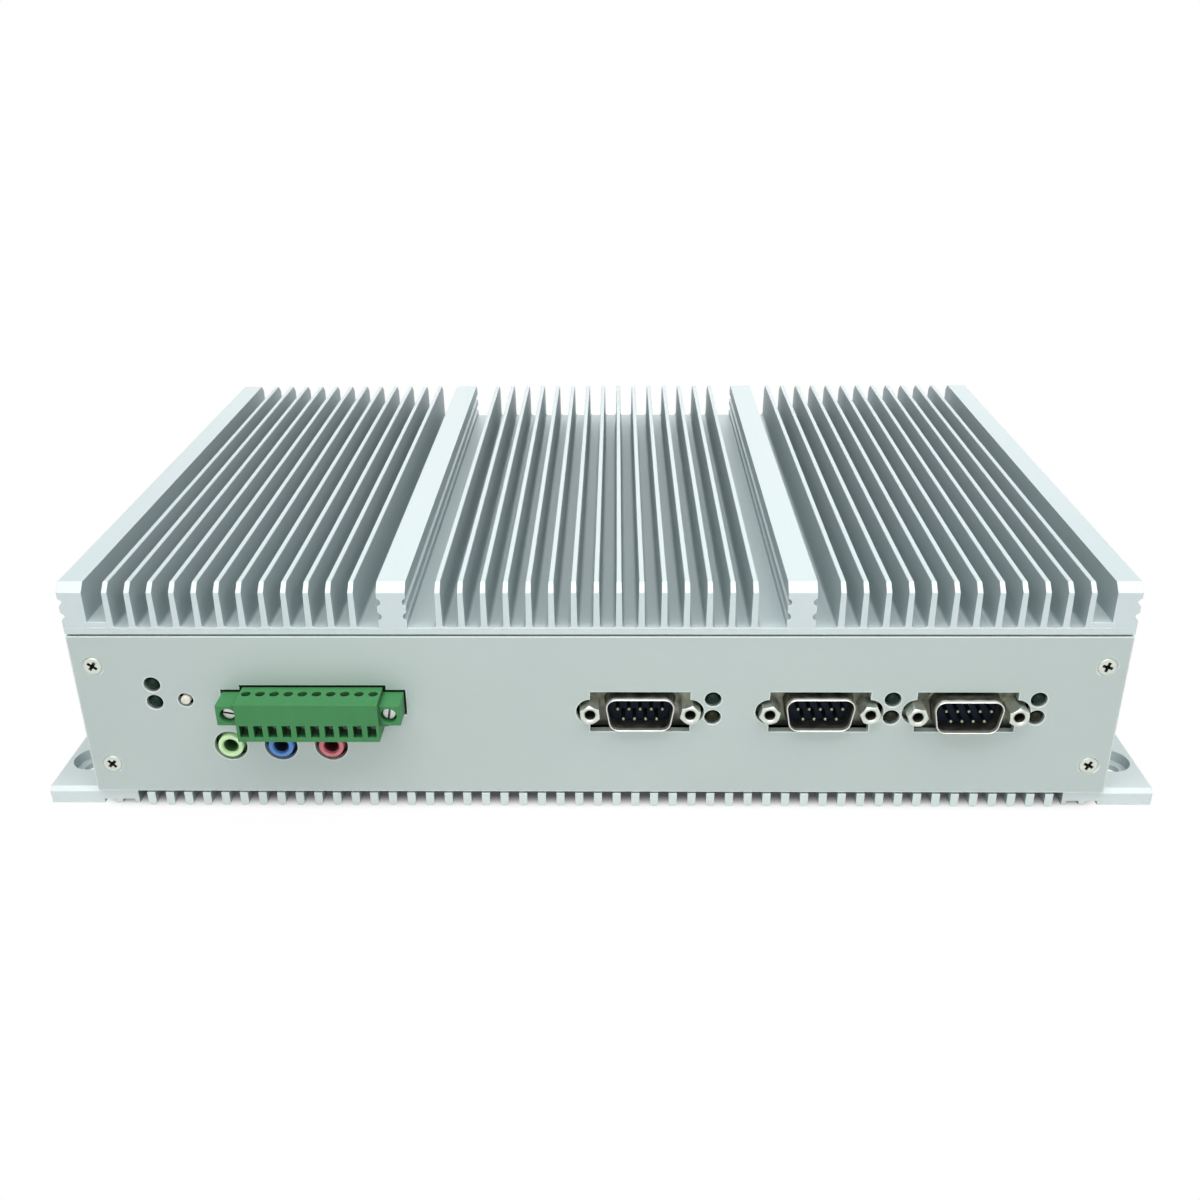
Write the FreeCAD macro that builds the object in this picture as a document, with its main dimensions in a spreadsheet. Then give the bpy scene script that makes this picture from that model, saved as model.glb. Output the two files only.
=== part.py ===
"""A fanless industrial computer: a finned aluminium case with its boards, sockets and fasteners.

Millimetres, +Z up. The front panel faces -Y. The origin is the centre of the four mounting holes, on the
plane that the flanges stand on.
"""
import FreeCAD, Part
import os
import re

import Sketcher

SIZES = {
    # Case: a finned top and base, two side walls between them, and a panel at each end.
    "case_width": 260.0, "case_length": 168.0, "case_height": 63.5,
    "panel_thickness": 2.0, "panel_foot": 4.5, "panel_head": 49.6, "panel_gap": 0.6,
    "case_floor": 8.5, "floor_plate": 3.0, "sink_underside": 48.0,
    "wall_thickness": 3.0, "lip_width": 15.0, "lip_thickness": 2.5, "channel_radius": 3.3,
    # Heat sink on top.
    "sink_floor": 52.0, "rim_floor": 53.5, "outer_rail": 6.0, "rail_width": 7.0, "rail_inside": 45.9,
    "middle_fin_pitch": 5.45, "side_fin_pitch": 5.4, "side_fin_first": 59.04, "fin_gap_least": 4.9,
    "fin_root": 1.6, "fin_tip": 1.25, "fin_root_radius": 0.8, "fin_tip_radius": 0.25,
    "end_chamfer": 2.1, "fin_sunk": 0.5,
    "groove_radius": 1.0, "groove_depth": 0.9, "groove_upper": 58.8, "groove_lower": 55.0,
    # Base with its flanges and underside fins.
    "flange_reach": 13.25, "flange_height": 4.6, "flange_bevel": 1.1, "flange_set": 1.0,
    "hole_spacing_across": 273.2, "hole_spacing_along": 142.2,
    "hole_radius": 3.2, "counterbore_radius": 5.4, "counterbore_depth": 3.0,
    "foot_fin_pitch": 4.85, "foot_fin_width": 2.1, "foot_fin_tip_radius": 0.9, "foot_fin_root_radius": 0.6,
    "strip_width": 9.8, "strip_ridge": 1.2, "strip_groove": 3.2, "strip_groove_depth": 1.2, "strip_edge": 0.6,
    # Screws of the case.
    "screw_radius": 1.5, "screw_clearance": 0.2, "thread_clearance": 0.05, "thread_end": 0.3,
    "flat_head_radius": 2.7, "pan_head_radius": 2.75, "pan_head_height": 1.9,
    "cross_width": 0.8, "cross_span": 2.9, "cross_depth": 1.1,
    "panel_screw_inset": 5.0, "panel_screw_low": 12.6, "panel_screw_high": 41.15, "panel_screw_length": 10.0,
    "sink_head_radius": 2.15, "sink_screw_inset": 8.4, "sink_screw_along": 54.0, "base_screw_along": 62.0,
    # Boards.
    "board_thickness": 1.6, "board_height": 12.5, "board_width": 226.0, "board_edge_gap": 0.5,
    "front_board_gap": 9.0, "front_board_foot": 22.9, "front_board_head": 46.0, "front_board_width": 228.0,
    "link_across": -24.0, "link_width": 46.0, "link_depth": 6.0, "link_height": 20.0,
    "standoff_radius": 2.6, "standoff_across": 104.0, "standoff_along": 66.0, "short_screw_length": 5.0,
    # Serial sockets: nine pins in a D-shaped shell.
    "serial_height": 28.4, "serial_first": 10.7, "serial_second": 55.5, "serial_third": 92.0,
    "socket_set": 1.9, "third_set": 0.9, "shell_middle": 16.5, "shell_height": 9.2, "shell_slope": 10.0,
    "shell_radius": 2.6, "shell_wall": 0.4, "shell_reach": 5.9,
    "ear_width": 30.8, "ear_height": 12.5, "ear_thickness": 0.8, "ear_radius": 1.5,
    "jackscrew_spacing": 24.99, "jackscrew_across": 4.75, "jackscrew_reach": 5.9, "jackscrew_bore": 1.3,
    "jackscrew_bore_depth": 4.0, "jackscrew_shank": 5.0,
    "cutout_width": 25.0, "cutout_height": 11.4, "cutout_ear_radius": 3.5,
    "pin_radius": 0.5, "pin_pitch": 2.77, "pin_row_gap": 2.84, "pin_reach": 5.2, "pin_point": 0.6,
    "pin_tail": 1.0, "pin_clearance": 0.05, "insulator_reach": 0.6, "insulator_width": 30.0, "insulator_height": 9.5,
    # Lights and the button.
    "light_radius": 1.9, "light_clearance": 0.2, "light_proud": 0.2,
    "light_rise": 3.6, "light_gap": 5.1,
    "status_light_across": -110.9, "status_light_low": 31.1, "status_light_gap": 5.0,
    "serial_light_first": 28.87, "serial_light_second": 73.5, "serial_light_third": 109.6,
    "button_across": -103.1, "button_height": 31.7, "button_radius": 1.2, "button_proud": 0.3,
    "button_hole_radius": 1.95, "button_collar": 0.7, "button_collar_height": 0.8, "button_clearance": 0.15,
    "switch_width": 6.0, "switch_depth": 5.5, "switch_wall": 1.0, "switch_chamber": 3.5,
    # Sound sockets.
    "jack_first": -93.5, "jack_pitch": 12.85, "jack_rise": 4.2, "jack_width": 9.0, "jack_depth": 12.0,
    "jack_ring_radius": 3.2, "jack_bore_radius": 1.8, "jack_bore_depth": 13.0, "jack_hole_radius": 4.2,
    "jack_proud": 0.4, "jack_mouth": 0.4,
    # Terminal block: a header on the front board and the plug that is screwed to it.
    "terminal_across": -70.9, "terminal_height": 30.05, "terminal_pitch": 3.5, "terminal_ways": 10,
    "header_width": 36.0, "header_height": 11.3, "header_reach": 1.5, "header_clearance": 0.3,
    "ear_span": 45.7, "ear_foot": -2.3, "ear_head": 4.35,
    "cavity_height": 8.4, "cavity_depth": 7.5,
    "plug_height": 10.5, "plug_reach": 10.5, "plug_gap": 0.3, "nose_clearance": 0.3, "nose_inset": 0.8,
    "nose_depth": 7.0,
    "wing_width": 45.3, "wing_foot": -1.55, "wing_head": 3.95, "wing_reach": 8.8, "wing_seat_radius": 2.05,
    "wire_hole_width": 2.2, "wire_hole_height": 3.3, "wire_hole_rise": -2.4, "wire_hole_depth": 8.5,
    "recess_radius": 1.2, "recess_reach": 5.1, "clamp_screw_radius": 1.1, "clamp_screw_sunk": 1.3,
    "clamp_depth": 4.4, "clamp_wall": 0.4, "clamp_clearance": 0.05,
    "flange_screw_spacing": 39.6, "flange_screw_rise": 1.1, "flange_screw_head": 1.55,
    "flange_screw_height": 1.6, "flange_screw_sunk": 1.4, "flange_screw_shank": 1.2,
    "flange_screw_length": 11.0, "slot_width": 0.5, "slot_depth": 0.7,
    "header_pin_radius": 0.5, "header_pin_reach": -0.6, "header_pin_rise": -2.4,
    # Processor and the block that carries its heat up to the fins.
    "chip_across": 12.0, "chip_along": 8.0, "chip_width": 31.0, "chip_height": 2.2, "paste_height": 0.4,
    "block_width": 50.0, "block_depth": 42.0, "block_flange": 8.0, "block_flange_height": 3.5,
    "block_screw_length": 6.0,
    # Memory, cell and drive.
    "memory_width": 67.6, "memory_depth": 30.0, "memory_thickness": 3.4, "memory_across": 72.0,
    "memory_along": -20.0, "memory_rise": 1.6, "memory_socket_width": 72.0, "memory_socket_depth": 8.0,
    "memory_socket_height": 5.2,
    "cell_radius": 10.0, "cell_height": 3.2, "cell_across": 60.0, "cell_along": 50.0, "cell_holder_wall": 1.4,
    "cell_holder_floor": 1.2, "cell_slack": 0.15,
    "drive_width": 69.85, "drive_length": 100.0, "drive_height": 9.5, "drive_across": -68.0, "drive_along": 0.0,
    "bracket_plate": 1.2, "bracket_slack": 0.4, "bracket_lip": 9.0, "bracket_drop": 13.0,
    "bracket_screw_along": 38.0,
    "drive_screw_across": 61.7, "drive_screw_along": 76.6, "drive_screw_depth": 3.0,
    "riser_width": 44.0, "riser_gap": 0.6,
    # Supply parts on the main board.
    "capacitor_radius": 4.0, "capacitor_height": 11.0, "capacitor_pitch": 11.0,
    "capacitor_across": -98.0, "capacitor_along": 42.0,
    "coil_width": 11.0, "coil_height": 6.0, "coil_pitch": 15.0, "coil_across": -58.0, "coil_along": 60.0,
    # Rear sockets, measured across from the middle as seen from the rear.
    "socket_clearance": 0.25, "socket_reach": 1.8,
    "inlet_across": 98.0, "inlet_width": 9.0, "inlet_height": 11.0, "inlet_depth": 14.0,
    "inlet_bore": 3.15, "inlet_bore_depth": 9.5, "inlet_pin": 1.0, "inlet_pin_set": 0.5,
    "video_across": 66.0, "video_rise": 6.6, "video_pitch": 2.29, "video_row_gap": 1.98, "video_face_set": 0.3,
    "network_across": 30.0, "network_pitch": 20.0, "network_width": 16.0, "network_height": 13.5,
    "network_depth": 21.0, "network_mouth_width": 11.8, "network_mouth_height": 8.4, "network_mouth_rise": 2.2,
    "network_mouth_depth": 13.0,
    "usb_across": -20.0, "usb_pitch": 20.0, "usb_width": 13.2, "usb_height": 15.6, "usb_depth": 17.5,
    "usb_mouth_height": 5.1, "usb_mouth_depth": 12.0, "usb_wall": 0.4, "usb_level_gap": 7.8,
    "usb_first_level": 1.4, "usb_tongue_height": 1.84, "usb_tongue_width": 11.1, "usb_tongue_length": 9.0,
}

FRONT = FreeCAD.Rotation(FreeCAD.Vector(1, 0, 0), 90)
FACING = {
    "up": FreeCAD.Rotation(),
    "down": FreeCAD.Rotation(FreeCAD.Vector(1, 0, 0), 180),
    "front": FRONT,
    "rear": FreeCAD.Rotation(FreeCAD.Vector(0, 0, 1), 180) * FRONT,
}

doc = FreeCAD.newDocument("industrial_computer")
sheet = doc.addObject("Spreadsheet::Sheet", "Sizes")
for line, (alias, size) in enumerate(SIZES.items(), start=1):
    sheet.set(f"A{line}", alias)
    sheet.set(f"B{line}", str(size))
    sheet.setAlias(f"B{line}", alias)
doc.recompute()
nodes = []


# ---- Formulas over the sheet ----

def spelled(formula):
    """The formula with the sheet's name before each size."""
    return re.sub(r"[a-z_]\w*", lambda word: "Sizes." + word[0] if word[0] in SIZES else word[0], str(formula))


def value(formula):
    """What a formula comes to."""
    return float(sheet.evalExpression(spelled(formula)))


def bind(thing, name, formula):
    """Tie a property to a formula."""
    thing.setExpression(name, spelled(formula))


def place(thing, x="0", y="0", z="0", facing="up", turn=0):
    """Put a piece at a point, its own +Z pointing to a side of the case, turned about that axis."""
    rotation = FACING[facing] * FreeCAD.Rotation(FreeCAD.Vector(0, 0, 1), turn)
    thing.Placement = FreeCAD.Placement(FreeCAD.Vector(value(x), value(y), value(z)), rotation)
    for axis, formula in (("x", x), ("y", y), ("z", z)):
        bind(thing, f"Placement.Base.{axis}", formula)
    return thing


def node(thing, label, x="0", y="0", z="0", facing="up"):
    """Name a finished piece and put it where it sits."""
    thing.Label = label
    nodes.append(thing)
    return place(thing, x, y, z, facing)


# ---- Simple solids ----

def block(low, size):
    """A box from its lowest corner."""
    solid = doc.addObject("Part::Box", "Block")
    for name, formula in zip(("Length", "Width", "Height"), size):
        bind(solid, name, formula)
    return place(solid, *low)


def rod(radius, length, x="0", y="0", z="0", facing="up"):
    """A cylinder from the middle of its foot."""
    solid = doc.addObject("Part::Cylinder", "Rod")
    bind(solid, "Radius", radius)
    bind(solid, "Height", length)
    return place(solid, x, y, z, facing)


def cone(foot, head, length, x="0", y="0", z="0"):
    """A cone frustum from the middle of its foot."""
    solid = doc.addObject("Part::Cone", "Cone")
    bind(solid, "Radius1", foot)
    bind(solid, "Radius2", head)
    bind(solid, "Height", length)
    return place(solid, x, y, z)


def ball(radius, x="0", y="0", z="0"):
    """A sphere about its middle."""
    solid = doc.addObject("Part::Sphere", "Ball")
    bind(solid, "Radius", radius)
    return place(solid, x, y, z)


def fused(*pieces):
    """Several solids as one."""
    whole = doc.addObject("Part::MultiFuse", "Fused")
    whole.Shapes = list(pieces)
    whole.Refine = True
    return whole


def cut(base, *tools):
    """A solid with others taken out of it."""
    rest = doc.addObject("Part::Cut", "Cut")
    rest.Base = base
    rest.Tool = tools[0] if len(tools) == 1 else group(tools)
    return rest


def group(pieces):
    """Separate solids that are one node."""
    whole = doc.addObject("Part::Compound", "Group")
    whole.Links = list(pieces)
    return whole


# ---- Sketched bodies ----

def new_body(label, x="0", y="0", z="0", facing="up"):
    """An empty sketched body at its place."""
    return node(doc.addObject("PartDesign::Body", label), label, x, y, z, facing)


def origin(body, role):
    """One of the body's own planes or axes."""
    return next(feature for feature in body.Origin.OriginFeatures if feature.Role == role)


def sketch(body, name, plane="XY", shift="0"):
    """An empty sketch on one of the body's planes, moved out along its normal."""
    drawing = body.newObject("Sketcher::SketchObject", name)
    drawing.AttachmentSupport = [(origin(body, plane + "_Plane"), "")]
    drawing.MapMode = "FlatFace"
    bind(drawing, "AttachmentOffset.Base.z", shift)
    return drawing


def fix_point(drawing, edge, end, across, up):
    """Hold a sketch point at its formulas."""
    for kind, formula in (("DistanceX", across), ("DistanceY", up)):
        held = drawing.addConstraint(Sketcher.Constraint(kind, -1, 1, edge, end, value(formula)))
        bind(drawing, f"Constraints[{held}]", formula)


def outline(drawing, corners):
    """A closed outline. A corner is (across, up), or (across, up, radius, turn) where an arc leads on to the
    next corner, anticlockwise with turn 1 and clockwise with turn -1."""
    first = drawing.GeometryCount
    ends = []
    for corner, following in zip(corners, corners[1:] + corners[:1]):
        start = FreeCAD.Vector(value(corner[0]), value(corner[1]), 0)
        end = FreeCAD.Vector(value(following[0]), value(following[1]), 0)
        if len(corner) == 2:
            drawing.addGeometry(Part.LineSegment(start, end), False)
            ends.append((1, 2))
            continue
        radius, turn = value(corner[2]), corner[3]
        chord = end - start
        rise = max(radius ** 2 - chord.Length ** 2 / 4, 0) ** 0.5
        aside = FreeCAD.Vector(-chord.y, chord.x, 0).normalize() * rise * turn
        middle = (start + end) / 2 + aside
        flat = FreeCAD.Vector(1, 0, 0)
        angles = [flat.getAngle(point - middle) * (1 if point.y >= middle.y else -1) for point in (start, end)]
        circle = Part.Circle(middle, FreeCAD.Vector(0, 0, 1), radius)
        drawing.addGeometry(Part.ArcOfCircle(circle, *angles[::turn]), False)
        ends.append((1, 2) if turn == 1 else (2, 1))
    count = len(corners)
    for place_in_row, corner in enumerate(corners):
        before = (place_in_row - 1) % count
        joint = ("Coincident", first + before, ends[before][1], first + place_in_row, ends[place_in_row][0])
        drawing.addConstraint(Sketcher.Constraint(*joint))
        fix_point(drawing, first + place_in_row, ends[place_in_row][0], corner[0], corner[1])
        if len(corner) == 4:
            held = drawing.addConstraint(Sketcher.Constraint("Radius", first + place_in_row, value(corner[2])))
            bind(drawing, f"Constraints[{held}]", corner[2])


def rectangle(drawing, across, up, width, height):
    """A rectangle about its middle."""
    low, high = f"{across} - ({width}) / 2", f"{across} + ({width}) / 2"
    foot, head = f"{up} - ({height}) / 2", f"{up} + ({height}) / 2"
    outline(drawing, [(low, foot), (high, foot), (high, head), (low, head)])


def ring(drawing, across, up, radius):
    """A circle."""
    middle = FreeCAD.Vector(value(across), value(up), 0)
    edge = drawing.addGeometry(Part.Circle(middle, FreeCAD.Vector(0, 0, 1), value(radius)), False)
    fix_point(drawing, edge, 3, across, up)
    held = drawing.addConstraint(Sketcher.Constraint("Radius", edge, value(radius)))
    bind(drawing, f"Constraints[{held}]", radius)


def pad(body, drawing, length, way="up"):
    """Material from a sketch: up its normal, down against it, or both ways from the middle."""
    feature = body.newObject("PartDesign::Pad", drawing.Name + "_pad")
    feature.Profile = drawing
    feature.SideType = "Symmetric" if way == "both" else "One side"
    feature.Reversed = way == "down"
    bind(feature, "Length", length)
    return feature


def pocket(body, drawing, depth="", way="down"):
    """A cut from a sketch: through everything where no depth is given."""
    feature = body.newObject("PartDesign::Pocket", drawing.Name + "_pocket")
    feature.Profile = drawing
    if depth:
        feature.SideType = "Symmetric" if way == "both" else "One side"
        feature.Reversed = way == "up"
        bind(feature, "Length", depth)
    else:
        feature.SideType = "Symmetric"
        feature.Type = "ThroughAll"
    return feature


def row(body, feature, count, spacing, axis="X", reverse=False):
    """Copies of a feature at even spacing."""
    pattern = body.newObject("PartDesign::LinearPattern", feature.Name + "_row")
    pattern.Originals = [feature]
    pattern.Direction = (origin(body, axis + "_Axis"), [""])
    pattern.Reversed = reverse
    pattern.Mode = "Spacing"
    bind(pattern, "Offset", spacing)
    bind(pattern, "Occurrences", count)
    body.Tip = pattern
    return pattern


def mirrored(corners):
    """The corners of a right half, and the same ones on the left in return order."""
    return corners + [(f"-({corner[0]})", corner[1]) for corner in reversed(corners)]


# ---- Places shared by several pieces ----

FRONT_END = "-case_length / 2"
REAR_END = "case_length / 2"
FRONT_FACE = "-(case_length / 2 + panel_thickness)"
REAR_FACE = "case_length / 2 + panel_thickness"
WHOLE_LENGTH = "case_length + 2 * panel_thickness"
SIDE = "case_width / 2"
BOARD_TOP = "(board_height + board_thickness)"
FRONT_BOARD = "(case_length / 2 - front_board_gap)"
JACK_HEIGHT = f"({BOARD_TOP} + jack_rise)"
SIDE_FIN_STEPS = "floor((case_width / 2 - outer_rail - fin_gap_least - side_fin_first) / side_fin_pitch)"
MIDDLE_FIN_STEPS = "floor((rail_inside - fin_gap_least) / middle_fin_pitch)"
STRIP_INSIDE = "(case_width / 2 - strip_width)"
FOOT_FIN_STEPS = f"floor(({STRIP_INSIDE} - foot_fin_width) / foot_fin_pitch)"
PANEL_SCREW_ACROSS = "(case_width / 2 - panel_screw_inset)"
SINK_SCREW_ACROSS = "(case_width / 2 - sink_screw_inset)"
BASE_SCREW_ACROSS = "(case_width / 2 - strip_width + strip_ridge + strip_groove / 2)"
SERIAL_PLACES = ["serial_first", "serial_second", "serial_third"]
SERIAL_LIGHTS = ["serial_light_first", "serial_light_second", "serial_light_third"]
VIDEO_HEIGHT = f"({BOARD_TOP} + video_rise)"
LIGHTS = [("status_light_across", "status_light_low + status_light_gap"),
          ("status_light_across", "status_light_low")]
LIGHTS += [(across, f"serial_height + light_rise - {step} * light_gap")
           for step in range(2) for across in SERIAL_LIGHTS]
BLOCK_SCREWS = [(f"chip_across + {side} * (block_width + block_flange) / 2",
                 f"chip_along + {end} * (block_depth - block_flange) / 2") for side in (1, -1) for end in (1, -1)]
BRACKET_SIDE = "(drive_width / 2 + bracket_slack)"
BRACKET_SCREWS = [(f"drive_across + {side} * ({BRACKET_SIDE} + bracket_plate + bracket_lip / 2)",
                   f"drive_along + {end} * bracket_screw_along") for side in (1, -1) for end in (1, -1)]
STANDOFFS = [(f"{side} * standoff_across", f"{end} * standoff_along") for side in (1, -1) for end in (1, -1)]
DRIVE_FOOT = "(sink_underside - bracket_drop + bracket_plate)"


# ---- Case ----

def fin(drawing, middle, foot, tip, root_width, tip_width, root_radius, tip_radius, up=1):
    """One fin's section: a tapered blade with a rounded tip and a flared root sunk in its plate."""
    corners = []
    for side in (1, -1):
        flank = [
            (f"{middle} + {side} * ({root_width} / 2 + {root_radius})", f"{foot} - {up} * fin_sunk"),
            (f"{middle} + {side} * ({root_width} / 2 + {root_radius})", foot, root_radius, -up),
            (f"{middle} + {side} * {root_width} / 2", f"{foot} + {up} * {root_radius}"),
            (f"{middle} + {side} * {tip_width} / 2", f"{tip} - {up} * {tip_radius}", tip_radius, up),
            (f"{middle} + {side} * ({tip_width} / 2 - {tip_radius})", tip),
        ]
        if side == 1:
            corners += flank
        else:
            corners += [flank[4] + (tip_radius, up), flank[3][:2], flank[2] + (root_radius, -up),
                        flank[1][:2], flank[0]]
    outline(drawing, corners)


def top_heatsink():
    """One extrusion: a plate with outer rails, two solid rails, fins between them and milled ends."""
    body = new_body("top_heatsink")
    plate = sketch(body, "sink_section", "XZ")
    last_fin = f"side_fin_first + {SIDE_FIN_STEPS} * side_fin_pitch"
    outline(plate, mirrored([
        (SIDE, "sink_underside"), (SIDE, "case_height"),
        (f"{SIDE} - outer_rail", "case_height"), (f"{SIDE} - outer_rail", "rim_floor"),
        (last_fin, "rim_floor"), (last_fin, "sink_floor"),
        ("rail_inside + rail_width", "sink_floor"), ("rail_inside + rail_width", "case_height"),
        ("rail_inside", "case_height"), ("rail_inside", "sink_floor"),
    ]))
    pad(body, plate, WHOLE_LENGTH, "both")
    grooves = sketch(body, "rail_grooves", "XZ")
    off_face = "groove_radius - groove_depth"
    for side in (1, -1):
        for height in ("groove_upper", "groove_lower"):
            for face in (f"{SIDE} + {off_face}", f"rail_inside + rail_width + {off_face}",
                         f"rail_inside - ({off_face})"):
                ring(grooves, f"{side} * ({face})", height, "groove_radius")
    pocket(body, grooves)
    holes = sketch(body, "sink_screw_holes")
    for side in (1, -1):
        for end in (1, -1):
            ring(holes, f"{side} * {SINK_SCREW_ACROSS}", f"{end} * sink_screw_along",
                 "screw_radius + screw_clearance")
    pocket(body, holes)
    blind = sketch(body, "inner_screw_holes", shift="sink_underside")
    for across, along in BLOCK_SCREWS + BRACKET_SCREWS:
        ring(blind, across, along, "screw_radius + thread_clearance")
    pocket(body, blind, "block_screw_length - block_flange_height + thread_end", "up")
    blade = ("sink_floor", "case_height", "fin_root", "fin_tip", "fin_root_radius", "fin_tip_radius")
    for name, start, steps, pitch, reverse in (
            ("middle_fin", f"-{MIDDLE_FIN_STEPS} * middle_fin_pitch", f"2 * {MIDDLE_FIN_STEPS}",
             "middle_fin_pitch", False),
            ("right_fin", "side_fin_first", SIDE_FIN_STEPS, "side_fin_pitch", False),
            ("left_fin", "-side_fin_first", SIDE_FIN_STEPS, "side_fin_pitch", True)):
        section = sketch(body, name, "XZ")
        fin(section, start, *blade)
        first_fin = pad(body, section, WHOLE_LENGTH, "both")
        row(body, first_fin, f"{steps} + 1", pitch, reverse=reverse)
    ends = sketch(body, "milled_ends", "YZ")
    for end, inwards in ((FRONT_FACE, "+"), (REAR_FACE, "-")):
        outline(ends, [(end, "case_height - end_chamfer"), (f"{end} {inwards} end_chamfer", "case_height"),
                       (end, "case_height")])
    pocket(body, ends)
    panel_rebates(body, "sink_underside", "panel_head + panel_gap")


def panel_rebates(body, low, high):
    """The step across each end in which the edge of a panel lies."""
    steps = sketch(body, "panel_rebates", "YZ")
    for end in (1, -1):
        rectangle(steps, f"{end} * (case_length + panel_thickness) / 2", f"({high} + {low}) / 2",
                  "panel_thickness", f"{high} - ({low})")
    pocket(body, steps, "case_width", "both")


def bottom_base():
    """One extrusion: a floor, fins under it, a solid strip at each side and flanges to bolt it down."""
    body = new_body("bottom_base")
    section = sketch(body, "base_section", "XZ")
    outside_groove = f"({SIDE} - strip_edge)"
    ridge = f"({STRIP_INSIDE} + strip_ridge)"
    outline(section, mirrored([
        (STRIP_INSIDE, "case_floor - floor_plate"), (STRIP_INSIDE, "0"),
        (ridge, "0"), (ridge, "strip_groove_depth"),
        (f"{ridge} + strip_groove", "strip_groove_depth"), (f"{ridge} + strip_groove", "0"),
        (f"{outside_groove} - strip_groove", "0"), (f"{outside_groove} - strip_groove", "strip_groove_depth"),
        (outside_groove, "strip_groove_depth"), (outside_groove, "0"),
        (f"{SIDE} + flange_reach", "0"), (f"{SIDE} + flange_reach", "flange_height"),
        (SIDE, "flange_height"), (SIDE, "case_floor"),
    ]))
    pad(body, section, WHOLE_LENGTH, "both")
    for side, name, way in ((1, "right", "up"), (-1, "left", "down")):
        milled = sketch(body, name + "_flange_ends", "YZ", f"{side} * {STRIP_INSIDE}")
        bevel = sketch(body, name + "_bevels", "YZ", f"{side} * {SIDE}")
        for end, inwards in ((FRONT_FACE, "+"), (REAR_FACE, "-")):
            back = f"{end} {inwards} flange_set"
            outline(milled, [(end, "0"), (back, "0"), (back, "case_floor"), (end, "case_floor")])
            outline(bevel, [(back, "flange_height - flange_bevel"),
                            (f"{back} {inwards} flange_bevel", "flange_height"), (back, "flange_height")])
        pocket(body, milled, "strip_width + flange_reach", way)
        pocket(body, bevel, "flange_reach", way)
    holes = sketch(body, "mounting_holes")
    sinks = sketch(body, "counterbores", shift="flange_height")
    screws = sketch(body, "base_screw_holes")
    for side in (1, -1):
        for end in (1, -1):
            across, along = f"{side} * hole_spacing_across / 2", f"{end} * hole_spacing_along / 2"
            ring(holes, across, along, "hole_radius")
            ring(sinks, across, along, "counterbore_radius")
            ring(screws, f"{side} * {BASE_SCREW_ACROSS}", f"{end} * base_screw_along",
                 "screw_radius + screw_clearance")
    pocket(body, holes)
    pocket(body, sinks, "counterbore_depth")
    pocket(body, screws)
    seats = sketch(body, "base_screw_seats", shift="strip_groove_depth")
    for side in (1, -1):
        for end in (1, -1):
            ring(seats, f"{side} * {BASE_SCREW_ACROSS}", f"{end} * base_screw_along", "flat_head_radius")
    countersink(pocket(body, seats, "flat_head_radius - screw_radius - screw_clearance", "up"))
    blade = sketch(body, "foot_fin", "XZ")
    fin(blade, f"-{FOOT_FIN_STEPS} * foot_fin_pitch", "case_floor - floor_plate", "0", "foot_fin_width",
        "foot_fin_width", "foot_fin_root_radius", "foot_fin_tip_radius", up=-1)
    row(body, pad(body, blade, WHOLE_LENGTH, "both"), f"2 * {FOOT_FIN_STEPS} + 1", "foot_fin_pitch")
    panel_rebates(body, "panel_foot - panel_gap", "case_floor")


def countersink(feature):
    """Give a round pocket the cone of a flat screw head."""
    feature.TaperAngle = -45


def side_wall(label, side):
    """One extrusion: an upright wall with a lip at top and bottom and two round channels for screws."""
    body = new_body(label)
    inside = f"{SIDE} - wall_thickness"
    edge = f"{SIDE} - lip_width"
    corners = [
        (SIDE, "case_floor"), (SIDE, "sink_underside"), (edge, "sink_underside"),
        (edge, "sink_underside - lip_thickness"), (inside, "sink_underside - lip_thickness"),
        (inside, "case_floor + lip_thickness"), (edge, "case_floor + lip_thickness"), (edge, "case_floor"),
    ]
    section = sketch(body, label + "_section", "XZ")
    outline(section, [(f"{side} * ({across})", up) for across, up in corners])
    pad(body, section, "case_length", "both")
    for height in ("panel_screw_low", "panel_screw_high"):
        channel = sketch(body, f"{label}_{height}", "XZ")
        ring(channel, f"{side} * {PANEL_SCREW_ACROSS}", height, "channel_radius")
        pad(body, channel, "case_length", "both")
    bores = sketch(body, label + "_bores", "XZ")
    for height in ("panel_screw_low", "panel_screw_high"):
        ring(bores, f"{side} * {PANEL_SCREW_ACROSS}", height, "screw_radius + thread_clearance")
    pocket(body, bores)
    threads = sketch(body, label + "_threads")
    for end in (1, -1):
        ring(threads, f"{side} * {SINK_SCREW_ACROSS}", f"{end} * sink_screw_along",
             "screw_radius + thread_clearance")
        ring(threads, f"{side} * {BASE_SCREW_ACROSS}", f"{end} * base_screw_along",
             "screw_radius + thread_clearance")
    pocket(body, threads)


def plain_panel(label, end, facing):
    """A flat plate with its four countersunk screw holes, in its own front view."""
    body = new_body(label, y=end, facing=facing)
    plate = sketch(body, label + "_plate")
    rectangle(plate, "0", "(panel_head + panel_foot) / 2", "case_width", "panel_head - panel_foot")
    pad(body, plate, "panel_thickness")
    holes = sketch(body, label + "_screw_holes")
    seats = sketch(body, label + "_screw_seats", shift="panel_thickness")
    for side in (1, -1):
        for height in ("panel_screw_low", "panel_screw_high"):
            ring(holes, f"{side} * {PANEL_SCREW_ACROSS}", height, "screw_radius + screw_clearance")
            ring(seats, f"{side} * {PANEL_SCREW_ACROSS}", height, "flat_head_radius")
    pocket(body, holes)
    countersink(pocket(body, seats, "flat_head_radius - screw_radius - screw_clearance"))
    return body


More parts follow.
